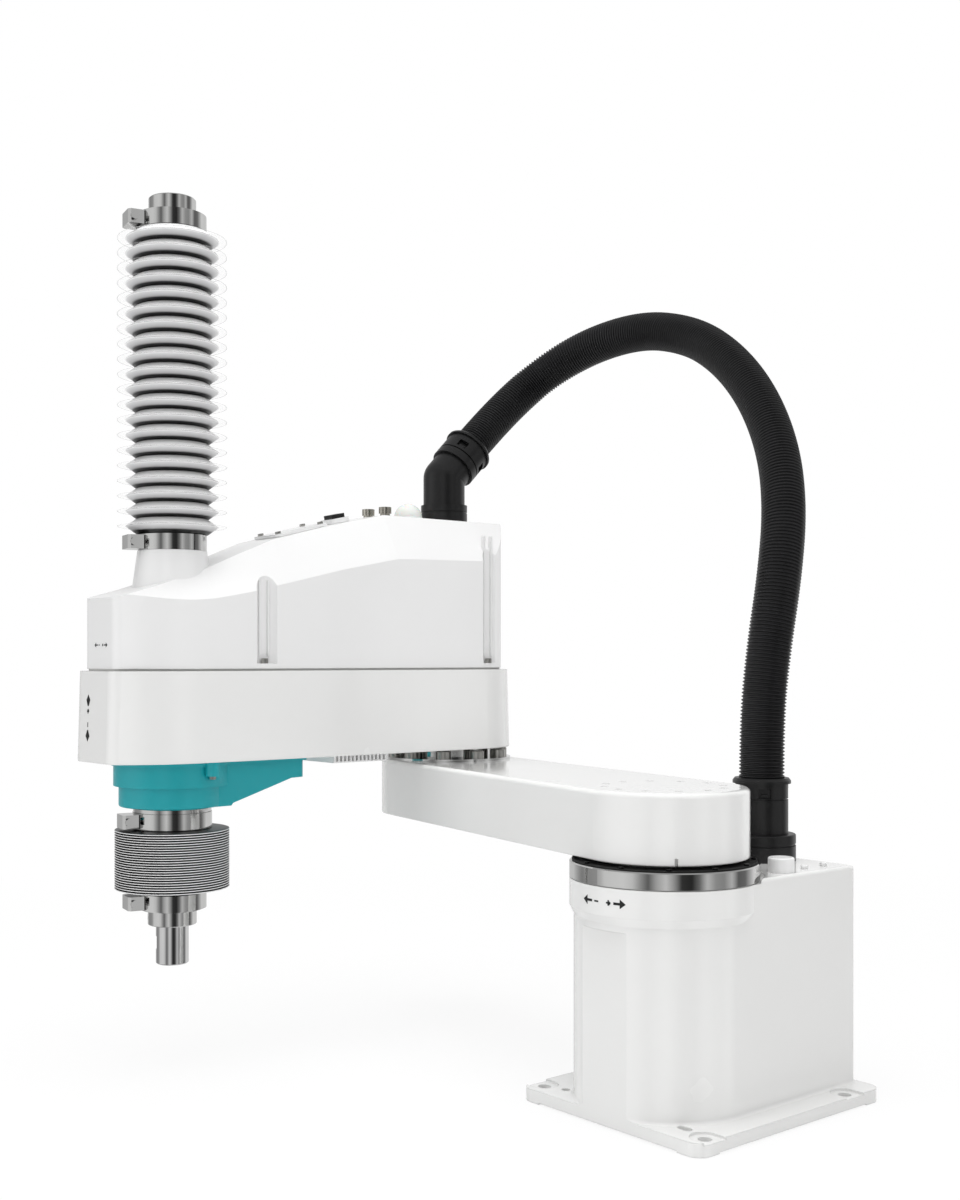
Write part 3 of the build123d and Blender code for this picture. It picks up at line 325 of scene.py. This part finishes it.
def turned_mesh(name, profile, steps, closed=False):
    """Closed mesh of a profile, given as (radius, height) pairs, spun round Z."""
    shape = bmesh.new()
    rings = []
    for radius, height in profile:
        ring = []
        for i in range(steps):
            angle = 2 * math.pi * i / steps
            ring.append(shape.verts.new((radius * math.cos(angle), radius * math.sin(angle), height)))
        rings.append(ring)
    pairs = list(zip(rings, rings[1:])) + ([(rings[-1], rings[0])] if closed else [])
    for low, high in pairs:
        for i in range(steps):
            j = (i + 1) % steps
            shape.faces.new((low[i], low[j], high[j], high[i]))
    bmesh.ops.recalc_face_normals(shape, faces=shape.faces)
    mesh = bpy.data.meshes.new(name)
    shape.to_mesh(mesh)
    shape.free()
    return mesh


def plain_mesh(piece, name, material):
    """Bakes a piece's modifiers into its mesh and smooths it."""
    bpy.context.view_layer.update()
    seen = piece.evaluated_get(bpy.context.evaluated_depsgraph_get())
    mesh = bpy.data.meshes.new_from_object(seen)
    mesh.name = name
    piece.modifiers.clear()
    piece.data = mesh
    if not mesh.materials:
        mesh.materials.append(material)
    return piece


def smooth(piece, angle=40.0):
    """Shades a mesh smooth, with its sharp edges kept."""
    mesh = piece.data
    mesh.shade_smooth()
    mesh.set_sharp_from_angle(angle=math.radians(angle))
    return piece


def new_tree(name, inputs):
    """Geometry tree with named inputs, given as name: (socket type, default)."""
    tree = bpy.data.node_groups.new(name, "GeometryNodeTree")
    tree.interface.new_socket("Geometry", in_out="INPUT", socket_type="NodeSocketGeometry")
    tree.interface.new_socket("Geometry", in_out="OUTPUT", socket_type="NodeSocketGeometry")
    for label, (kind, default) in inputs.items():
        socket = tree.interface.new_socket(label, in_out="INPUT", socket_type=kind)
        if default is not None:
            socket.default_value = default
    return tree, add_node(tree, "NodeGroupInput"), add_node(tree, "NodeGroupOutput")


def use_tree(piece, tree, values):
    """Adds the tree to a piece and sets its inputs by their identifiers."""
    modifier = piece.modifiers.new(tree.name, "NODES")
    modifier.node_group = tree
    names = {s.name: s.identifier for s in tree.interface.items_tree if s.in_out == "INPUT"}
    for label, value in values.items():
        modifier[names[label]] = value
    return modifier


# %% [markdown]
# ** The conduit.** A corrugated tube of 33 mm carries all cables from the base to the second link. On the
# real robot it is one hose. Here it is parted at the top of its arch into a lower and an upper half. Its line
# is one smooth curve through a few chosen points, and the ribs sit on that line every 2.6 mm, as the blown
# tube's rings do.

# %% Conduit route
conduit_diameter = 33 * mm
conduit_route = [Vector(p) * mm for p in (
    (-106.6, 0.0, 221.0), (-106.6, 0.0, 267.8), (-112.7, 1.6, 320.3), (-124.9, 2.0, 374.0),
    (-140.0, -4.6, 425.6), (-155.1, -22.0, 473.6), (-169.9, -53.0, 520.0), (-182.9, -93.8, 559.2),
    (-192.3, -142.2, 588.9), (-193.7, -204.7, 604.8), (-177.6, -272.0, 592.3))]
elbow_bend = elbow_joint + Vector((4.4, 0, 473)) * mm
slant = Vector((-1, 0, 1)).normalized()
conduit_mouth = elbow_bend + slant * 36 * mm
conduit_route += [conduit_mouth + slant * 72.8 * mm, conduit_mouth]
arch = 8
arch_run = conduit_route[arch + 1] - conduit_route[arch]
arch_top = conduit_route[arch] + arch_run * 0.5
seam = arch_run.normalized() * 0.15 * mm
lower_route = conduit_route[:arch + 1] + [arch_top - seam]
upper_route = [conduit_mouth] + conduit_route[-2:arch:-1] + [arch_top + seam]


def smooth_line(name, points):
    """One open NURBS spline with the points as its control points."""
    curve = bpy.data.curves.new(name, "CURVE")
    curve.dimensions = "3D"
    curve.resolution_u = 24
    spline = curve.splines.new("NURBS")
    spline.points.add(len(points) - 1)
    for point, place in zip(spline.points, points):
        point.co = (*place, 1.0)
    spline.order_u = 3
    spline.use_endpoint_u = True
    line = bpy.data.objects.new(name, curve)
    bpy.context.scene.collection.objects.link(line)
    return line


def line_points(line):
    """Points along the evaluated spline."""
    bpy.context.view_layer.update()
    seen = line.evaluated_get(bpy.context.evaluated_depsgraph_get())
    mesh = bpy.data.meshes.new_from_object(seen)
    points = [v.co.copy() for v in mesh.vertices]
    bpy.data.meshes.remove(mesh)
    return points


def length_of(points):
    return sum((b - a).length for a, b in zip(points, points[1:]))


# %% [markdown]
# The ribs' tree takes the piece's own mesh, one rib with its valley, and stands a copy at every step of
# the line, turned to the line's direction.

# %% Ribs along a line
rib_pitch = 2.6 * mm
rib_depth = 1.2 * mm
tree, given, result = new_tree("ribs_along_line", {
    "Line": ("NodeSocketObject", None), "Spacing": ("NodeSocketFloat", rib_pitch),
    "Finish": ("NodeSocketMaterial", None)})
line = add_node(tree, "GeometryNodeObjectInfo", {}, {"Object": given.outputs["Line"]})
steps = add_node(tree, "GeometryNodeResampleCurve", {"mode": "LENGTH"},
                 {"Curve": line.outputs["Geometry"], "Length": given.outputs["Spacing"]})
along = add_node(tree, "GeometryNodeInputTangent")
turn = add_node(tree, "FunctionNodeAlignRotationToVector", {"axis": "Z"},
                {"Vector": along.outputs["Tangent"]})
ribs = add_node(tree, "GeometryNodeInstanceOnPoints", {},
                {"Points": steps.outputs["Curve"], "Instance": given.outputs["Geometry"],
                 "Rotation": turn.outputs["Rotation"]})
real = add_node(tree, "GeometryNodeRealizeInstances", {}, {"Geometry": ribs.outputs["Instances"]})
coat = add_node(tree, "GeometryNodeSetMaterial", {},
                {"Geometry": real.outputs["Geometry"], "Material": given.outputs["Finish"]})
tree.links.new(coat.outputs["Geometry"], result.inputs["Geometry"])
rib_tree = tree


def conduit_half(name, points):
    """Corrugated half of the conduit, with the points of its centre line."""
    line = smooth_line(name + "_line", points)
    path = line_points(line)
    length = length_of(path)
    count = round(length / rib_pitch)
    outer = conduit_diameter / 2
    valley = outer - rib_depth
    half = rib_pitch * 0.5
    profile = [(valley, -half * 1.3), (valley, -half * 0.8), (outer, -half * 0.22), (outer, half * 0.22),
               (valley, half * 0.8), (valley, half * 1.3), (valley - 0.9 * mm, half * 1.3),
               (valley - 0.9 * mm, -half * 1.3)]
    piece = new_piece(name, turned_mesh(name, profile, 36, closed=True))
    use_tree(piece, rib_tree, {"Line": line, "Spacing": length / count, "Finish": conduit_nylon})
    plain_mesh(piece, name, conduit_nylon)
    smooth(piece, 50)
    bpy.data.objects.remove(line)
    print(name, "length", round(length, 4), "ribs", count + 1, "faces", len(piece.data.polygons))
    return piece, path, length


lower_hose, lower_path, lower_length = conduit_half("conduit_hose_lower", lower_route)
upper_hose, upper_path, upper_length = conduit_half("conduit_hose_upper", upper_route)

# %% [markdown]
# The lower half leaves the fitting on the base and the upper half leaves the elbow on the second link.
# Both meet at the arch. Each keeps its place in its vertices, and the conduit solids of the model are hidden.

# %% Conduit in place
for piece, path, length, root, node_name in (
        (lower_hose, lower_path, lower_length, "base", "conduit_lower"),
        (upper_hose, upper_path, upper_length, "link_2", "conduit_upper")):
    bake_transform(piece)
    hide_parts(node_name)

# %% [markdown]
# ** The bellows.** Two bellows keep dirt off the quill. The upper one is welded from thin pale discs in
# pairs. Their inner part is thick and light grey. Its lower side is painted a shade greyer than its upper
# side, both sides carry painted shade that goes near black in the valley at the weld, and the lens edge
# carries a painted highlight. The outer part is a thin clear skirt that lets the surround through and shows
# only its edge. The lower bellows is black, with a white bead on every rim. Both finishes read each point's
# distance from the quill's axis, which the mesh carries as an attribute, so that they look the same from
# every side and stay put when the arm moves.


# %% Bellows finish
axis_distance = "from_axis"


def radius_tones(tree, distance, stops):
    """Colour by the distance from the quill's axis: (radius in mm, hex colour) stops."""
    low, high = stops[0][0] * mm, stops[-1][0] * mm
    share = add_node(tree, "ShaderNodeMapRange", {"From Min": low, "From Max": high},
                     {"Value": distance.outputs["Fac"]})
    tones = add_node(tree, "ShaderNodeValToRGB", {}, {"Fac": share.outputs["Result"]})
    marks = tones.color_ramp.elements
    while len(marks) < len(stops):
        marks.new(0.5)
    for mark, (radius, colour) in zip(marks, stops):
        mark.position = (radius * mm - low) / (high - low)
    for mark, (radius, colour) in zip(marks, stops):
        mark.color = linear(colour)
    return tones.outputs["Color"]


def bellows_skin(name, above, below, roughness, clearness=None):
    """Sheet coloured by distance from the axis, with one set of tones for faces turned up and one for faces
    turned down, so that shade under each fold can be painted, and a clear outer skirt.
    """
    material, tree, surface = finish_of(name, above[-1][1], roughness)
    place = add_node(tree, "ShaderNodeTexCoord")
    distance = add_node(tree, "ShaderNodeAttribute", {"attribute_name": axis_distance})
    # Faces turned down take the second set of tones, which for the pale sheet is painted shade.
    facing = add_node(tree, "ShaderNodeSeparateXYZ", {}, {"Vector": place.outputs["Normal"]})
    underside = add_node(tree, "ShaderNodeMath", {"operation": "LESS_THAN"}, {0: facing.outputs["Z"]})
    underside.inputs[1].default_value = 0.0
    lit_and_shaded_sides = add_node(tree, "ShaderNodeMix", {"data_type": "RGBA"}, {"Factor": underside.outputs["Value"]})
    tree.links.new(radius_tones(tree, distance, above), lit_and_shaded_sides.inputs[6])
    tree.links.new(radius_tones(tree, distance, below), lit_and_shaded_sides.inputs[7])
    tree.links.new(lit_and_shaded_sides.outputs[2], surface.inputs["Base Color"])
    if clearness:
        tree.links.new(radius_tones(tree, distance, clearness), surface.inputs["Alpha"])
    crease = add_node(tree, "ShaderNodeTexNoise", {"Scale": 400.0, "Detail": 3.0},
                      {"Vector": place.outputs["Object"]})
    bumped(tree, surface, crease.outputs["Fac"], 0.01 * mm, 0.1)
    return material


# Pale sheet tones: on both sides painted shade goes near black in the valley at the weld, the lower side is
# painted a shade greyer than the upper, and pure white at 34.9 mm on the lower side is a painted highlight at
# the lens edge.
pale_skin = bellows_skin(
    "welded_sheet_pale",
    [(27.2, "#3A3A3B"), (28.2, "#E2E2E2"), (31.0, "#F2F2F2"), (35.0, "#FAFAFA"), (41.0, "#FAFAFA"),
     (41.5, "#DADADA")],
    [(28.0, "#050505"), (29.6, "#161617"), (30.9, "#BEBEBF"), (34.4, "#E9E9EA"), (34.9, "#FFFFFF"),
     (41.5, "#E4E4E4")],
    0.4, [(35.2, "#FFFFFF"), (35.4, "#404040"), (40.9, "#303030"), (41.4, "#B0B0B0")])
beaded_tones = [(32.0, "#050505"), (43.15, "#060606"), (43.35, "#B4B4B5"), (43.6, "#EFEFEF")]
dark_skin = bellows_skin("welded_sheet_black", beaded_tones, beaded_tones, 0.35)

# %% [markdown]
# One fold is a thin wall that swings out from the valley to the rim and back. Its tree stands a copy on
# every step upwards, welds the copies and gives them the skin.

# %% Folds on top of each other
tree, given, result = new_tree("folds_upwards", {
    "Count": ("NodeSocketInt", 20), "Pitch": ("NodeSocketFloat", 0.01),
    "Finish": ("NodeSocketMaterial", None)})
step = add_node(tree, "ShaderNodeCombineXYZ", {}, {"Z": given.outputs["Pitch"]})
stack = add_node(tree, "GeometryNodeMeshLine", {}, {"Count": given.outputs["Count"],
                                                    "Offset": step.outputs["Vector"]})
folds = add_node(tree, "GeometryNodeInstanceOnPoints", {},
                 {"Points": stack.outputs["Mesh"], "Instance": given.outputs["Geometry"]})
real = add_node(tree, "GeometryNodeRealizeInstances", {}, {"Geometry": folds.outputs["Instances"]})
weld = add_node(tree, "GeometryNodeMergeByDistance", {"Distance": 0.00001},
                {"Geometry": real.outputs["Geometry"]})
coat = add_node(tree, "GeometryNodeSetMaterial", {},
                {"Geometry": weld.outputs["Geometry"], "Material": given.outputs["Finish"]})
tree.links.new(coat.outputs["Geometry"], result.inputs["Geometry"])
fold_tree = tree


def joined(name, pieces, material):
    """One closed mesh out of several pieces, with its doubles merged and its faces turned outwards."""
    shape = bmesh.new()
    for piece in pieces:
        shape.from_mesh(piece.data)
    bmesh.ops.remove_doubles(shape, verts=shape.verts, dist=0.02 * mm)
    bmesh.ops.recalc_face_normals(shape, faces=shape.faces)
    mesh = bpy.data.meshes.new(name)
    shape.to_mesh(mesh)
    open_edges = sum(1 for edge in shape.edges if len(edge.link_faces) != 2)
    shape.free()
    for piece in pieces:
        bpy.data.objects.remove(piece)
    print(name, "open edges:", open_edges)
    return new_piece(name, mesh, material)


def bellows_piece(name, low, high, count, crest, root, rim, cuffs, skin, lens=None, steps=96):
    """Folds between two heights with a flat rim on each, a cuff at each end and a plain bore."""
    pitch = (high - low) / count
    wall = 0.9 * mm
    slope = (pitch - rim) / 2
    knee = root + 0.55 * (crest - root)
    outer = [(root, 0), (knee, slope * 0.6), (crest - 0.25 * mm, slope), (crest, slope + rim * 0.25),
             (crest, slope + rim * 0.75), (crest - 0.25 * mm, slope + rim), (knee, pitch - slope * 0.6),
             (root, pitch)]
    if lens:
        skirt = 0.06 * mm
        skirt_root = lens + 0.4 * mm
        middle = pitch / 2
        outer = [(root, 0), (lens, middle - 1.3 * skirt), (skirt_root, middle - skirt), (crest, middle - skirt),
                 (crest, middle + skirt), (skirt_root, middle + skirt), (lens, middle + 1.3 * skirt),
                 (root, pitch)]
    fold = new_piece(name + "_fold", turned_mesh(name, outer, steps))
    use_tree(fold, fold_tree, {"Count": count, "Pitch": pitch, "Finish": skin})
    plain_mesh(fold, name, skin)
    fold.data.transform(Matrix.Translation((quill.x, quill.y, low)))
    pieces = [fold]
    bore = root - wall
    for radius, cuff_end, end in cuffs:
        inner = radius - 1.2 * mm
        inwards = 1 if end == low else -1
        ring = [(root, end), (radius, end - inwards * 0.3 * mm), (radius, cuff_end), (inner, cuff_end),
                (inner, end + inwards * 0.9 * mm), (bore, end + inwards * 0.9 * mm)]
        cuff = new_piece(name + "_cuff", turned_mesh(name, ring, steps))
        cuff.data.transform(Matrix.Translation((quill.x, quill.y, 0)))
        pieces.append(cuff)
    bore_line = [(bore, low + 0.9 * mm), (bore, high - 0.9 * mm)]
    sleeve = new_piece(name + "_bore", turned_mesh(name, bore_line, steps))
    sleeve.data.transform(Matrix.Translation((quill.x, quill.y, 0)))
    whole = joined(name, pieces + [sleeve], skin)
    reach = whole.data.attributes.new(axis_distance, "FLOAT", "POINT")
    for vert, mark in zip(whole.data.vertices, reach.data):
        mark.value = (vert.co.xy - quill.xy).length
    smooth(whole, 35)
    print(name, count, "folds, pitch", round(pitch / mm, 2), "mm, faces", len(whole.data.polygons))
    return whole


upper = bellows_piece("bellows_upper", 408.2 * mm, 640.5 * mm, 20, 41.7 * mm, 27.2 * mm, 0.9 * mm,
                      [(24.9 * mm, 395.5 * mm, 408.2 * mm), (24.7 * mm, 653.7 * mm, 640.5 * mm)], pale_skin,
                      lens=35.2 * mm)
lower = bellows_piece("bellows_lower", 136.5 * mm, 182.5 * mm, 25, 43.6 * mm, 33 * mm, 0.72 * mm,
                      [(24.7 * mm, 121.2 * mm, 136.5 * mm), (28.9 * mm, 195.3 * mm, 182.5 * mm)], dark_skin)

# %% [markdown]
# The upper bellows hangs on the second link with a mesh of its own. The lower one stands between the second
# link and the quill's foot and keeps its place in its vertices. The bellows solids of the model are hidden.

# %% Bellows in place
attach(upper, "link_2")
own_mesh(upper)
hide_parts("upper_bellows")
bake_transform(lower)
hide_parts("lower_bellows")

# %% [markdown]
# **Joint signs.** A double arrow with a minus and a plus tells which way a joint counts. The real signs are
# black ink, screen printed on the enamel. Here each is a film of a tenth of a millimetre: its flat outline
# is cut finely, dropped onto the painted surface along the surface's own direction, and given a thickness.
# The places are pixels of the photograph, sent out from the camera until they meet the paint.

# %% Signs on the paint
arrow_outline = [(-13.0, 0.0), (-10.0, 2.3), (-10.0, 0.6), (-6.6, 0.6), (-6.6, -0.6), (-10.0, -0.6),
                 (-10.0, -2.3)]
minus_outline = [(-5.0, 0.4), (-2.4, 0.4), (-2.4, -0.4), (-5.0, -0.4)]
plus_outline = [(2.4, 0.4), (3.3, 0.4), (3.3, 1.3), (4.1, 1.3), (4.1, 0.4), (5.0, 0.4), (5.0, -0.4),
                (4.1, -0.4), (4.1, -1.3), (3.3, -1.3), (3.3, -0.4), (2.4, -0.4)]
sign_outlines = [arrow_outline, minus_outline, plus_outline, [(-x, y) for x, y in reversed(arrow_outline)]]
film = 0.12 * mm


def painted_place(surface_tree, pixel):
    """Point and outward level direction of the paint that a pixel of the photograph shows."""
    turn = math.pi / 2 + heading
    forward = Vector((-math.sin(turn), math.cos(turn), 0))
    sideways = Vector((math.cos(turn), math.sin(turn), 0))
    ray = forward + sideways * (pixel[0] - centre_px[0]) / focal_px
    ray.z = (centre_px[1] - pixel[1]) / focal_px
    point, normal, face, distance = surface_tree.ray_cast(camera.location, ray.normalized())
    if normal.dot(ray) > 0:
        normal = -normal
    return point, Vector((normal.x, normal.y, 0)).normalized()


def joint_sign(name, body, node_name, pixel, size=1.0, upright=False):
    """Film with the double arrow on a node's painted surface."""
    carrier = nodes[node_name].data
    surface_tree = BVHTree.FromPolygons([v.co for v in carrier.vertices],
                                        [p.vertices for p in carrier.polygons])
    centre, outwards = painted_place(surface_tree, pixel)
    level = Vector((0, 0, 1)).cross(outwards)
    along, across = (Vector((0, 0, 1)), -level) if upright else (level, Vector((0, 0, 1)))
    shape = bmesh.new()
    for outline in sign_outlines:
        corners = [shape.verts.new(centre + (along * x + across * y) * size * mm) for x, y in outline]
        shape.faces.new(corners)
    bmesh.ops.triangulate(shape, faces=shape.faces)
    bmesh.ops.subdivide_edges(shape, edges=shape.edges, cuts=2, use_grid_fill=True)
    for vert in shape.verts:
        hit = surface_tree.ray_cast(vert.co + outwards * 0.01, -outwards)[0]
        vert.co = hit + outwards * film if hit else vert.co
    grown = bmesh.ops.extrude_face_region(shape, geom=shape.faces[:], use_keep_orig=True)["geom"]
    for vert in (part for part in grown if isinstance(part, bmesh.types.BMVert)):
        vert.co -= outwards * 2 * film
    bmesh.ops.recalc_face_normals(shape, faces=shape.faces)
    mesh = bpy.data.meshes.new(name)
    shape.to_mesh(mesh)
    shape.free()
    piece = new_piece(name, mesh, printing_ink)
    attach(piece, body)
    print(name, "at", [round(v, 4) for v in centre])


joint_sign("sign_on_column", "base", "base_casting", (602, 902), 1.4)
joint_sign("sign_on_nose", "link_2", "upper_cover", (101, 645), 0.8)
joint_sign("sign_on_band", "link_2", "link_2_casting", (88, 718), 1.35, upright=True)

# %% [markdown]
# **Floor and light.** A white studio: a wide floor, a bright surround and three large soft lamps. The
# surround shows white to the camera, and gives only a calm fill light to the robot. The floor near the
# robot keeps a little of its shadow, and further out it turns into the surround's own white.

# %% Floor and surround
floor_mesh = bpy.data.meshes.new("studio_floor")
shape = bmesh.new()
reach = 14.0
corners = [shape.verts.new((x, y, -0.0004)) for x, y in ((-reach, -reach), (reach, -reach), (reach, reach),
                                                        (-reach, reach))]
shape.faces.new(corners)
shape.to_mesh(floor_mesh)
shape.free()
floor_finish, tree, surface = finish_of("studio_floor_white", "#F7F7F7", 0.9)
rays = add_node(tree, "ShaderNodeLightPath")
glow = add_node(tree, "ShaderNodeEmission", {"Color": (1, 1, 1, 1), "Strength": 1.0})
place = add_node(tree, "ShaderNodeTexCoord")
far = add_node(tree, "ShaderNodeVectorMath", {"operation": "LENGTH"}, {"Vector": place.outputs["Object"]})
fading = add_node(tree, "ShaderNodeMapRange",
                  {"From Min": 0.5, "From Max": 1.3, "To Min": 0.88, "To Max": 1.0},
                  {"Value": far.outputs["Value"]})
share = add_node(tree, "ShaderNodeMath", {"operation": "MULTIPLY"},
                 {0: rays.outputs["Is Camera Ray"], 1: fading.outputs["Result"]})
blend = add_node(tree, "ShaderNodeMixShader", {}, {"Fac": share.outputs["Value"]})
tree.links.new(surface.outputs["BSDF"], blend.inputs[1])
tree.links.new(glow.outputs["Emission"], blend.inputs[2])
tree.links.new(blend.outputs["Shader"], tree.nodes["Material Output"].inputs["Surface"])
floor = new_piece("studio_floor", floor_mesh, floor_finish)
floor.visible_glossy = False

world = bpy.data.worlds.new("studio_surround")
bpy.context.scene.world = world
world.use_nodes = True
tree = world.node_tree
fill = tree.nodes["Background"]
fill.inputs["Color"].default_value = (1, 1, 1, 1)
fill_strength = 0.54
rays = add_node(tree, "ShaderNodeLightPath")
seen = add_node(tree, "ShaderNodeMath", {"operation": "MAXIMUM"}, {0: rays.outputs["Is Camera Ray"],
                                                                    1: rays.outputs["Is Transmission Ray"]})
white = add_node(tree, "ShaderNodeMapRange", {"To Min": fill_strength, "To Max": 1.0},
                 {"Value": seen.outputs["Value"]})

# %% [markdown]
# What polished steel looks like is what stands round it. A studio has bright panels with dark gaps between
# them, and a round bar shows each as an upright stripe. Here the surround carries the panels for reflections
# alone: its brightness goes by compass direction, and fades to an even grey overhead. The diffuse light
# stays even, so the paint keeps its colour.

# %% Panels seen in reflections
front = 50.5
panels = [(-180, 0.62), (-150, 0.75), (-126, 0.32), (-98, 0.42), (-84, 0.86), (-58, 0.92), (-46, 0.8),
          (-36, 0.42), (-27, 0.16), (-17, 0.55), (-6, 0.84), (4, 0.42), (12, 0.05), (25, 0.03), (34, 0.2),
          (44, 0.72), (55, 0.42), (67, 0.36), (79, 0.7), (90, 0.16), (104, 0.2), (126, 0.92), (158, 0.8)]
direction = add_node(tree, "ShaderNodeTexCoord")
parts = add_node(tree, "ShaderNodeSeparateXYZ", {}, {"Vector": direction.outputs["Generated"]})
compass = add_node(tree, "ShaderNodeMath", {"operation": "ARCTAN2"},
                   {0: parts.outputs["Y"], 1: parts.outputs["X"]})
turned = add_node(tree, "ShaderNodeMath", {"operation": "SUBTRACT"}, {0: compass.outputs["Value"]})
turned.inputs[1].default_value = math.radians(front - 180)
wrapped = add_node(tree, "ShaderNodeMath", {"operation": "WRAP"}, {0: turned.outputs["Value"]})
wrapped.inputs[1].default_value = 2 * math.pi
wrapped.inputs[2].default_value = 0.0
round_share = add_node(tree, "ShaderNodeMath", {"operation": "DIVIDE"}, {0: wrapped.outputs["Value"]})
round_share.inputs[1].default_value = 2 * math.pi
strips = add_node(tree, "ShaderNodeValToRGB", {}, {"Fac": round_share.outputs["Value"]})
marks = strips.color_ramp.elements
while len(marks) < len(panels):
    marks.new(0.5)
for mark, (degrees, level) in zip(marks, panels):
    mark.position = (degrees + 180) / 360
for mark, (degrees, level) in zip(marks, panels):
    mark.color = (level, level, level, 1.0)
overhead_share = add_node(tree, "ShaderNodeMapRange", {"From Min": 0.35, "From Max": 0.6},
                          {"Value": parts.outputs["Z"]})
ceiling = add_node(tree, "ShaderNodeMix", {"data_type": "FLOAT"},
                   {"Factor": overhead_share.outputs["Result"], "A": strips.outputs["Color"]})
ceiling.inputs["B"].default_value = 0.5
strength = add_node(tree, "ShaderNodeMix", {"data_type": "FLOAT"},
                    {"Factor": rays.outputs["Is Glossy Ray"], "A": white.outputs["Result"],
                     "B": ceiling.outputs["Result"]})
tree.links.new(strength.outputs["Result"], fill.inputs["Strength"])
print(len(panels), "stops of panels round the robot")


# %% [markdown]
# Three large soft lamps model the forms: one on each side and a stronger one overhead. They light the paint
# but don't show in reflections, where the panels stand for them.

# %% Lamps
def soft_lamp(name, place, target, width, height, power):
    """Large rectangular lamp that faces a point."""
    light = bpy.data.lights.new(name, "AREA")
    light.shape = "RECTANGLE"
    light.size, light.size_y, light.energy = width, height, power
    lamp = bpy.data.objects.new(name, light)
    bpy.context.scene.collection.objects.link(lamp)
    lamp.location = place
    lamp.rotation_euler = (Vector(target) - Vector(place)).to_track_quat("-Z", "Y").to_euler()
    lamp.visible_glossy = False


soft_lamp("key_left", (1.9, -0.7, 1.0), (0, -0.1, 0.3), 0.5, 1.8, 4.8)
soft_lamp("fill_right", (-0.2, 2.1, 0.9), (0, -0.1, 0.3), 0.5, 1.8, 4.8)
soft_lamp("overhead", (0.2, 0.0, 2.4), (0, -0.1, 0.3), 1.8, 1.8, 42.0)
print("floor and lamps ready")

# %% [markdown]
# The last cell brings the scene up to date.

# %% The end
bpy.context.view_layer.update()
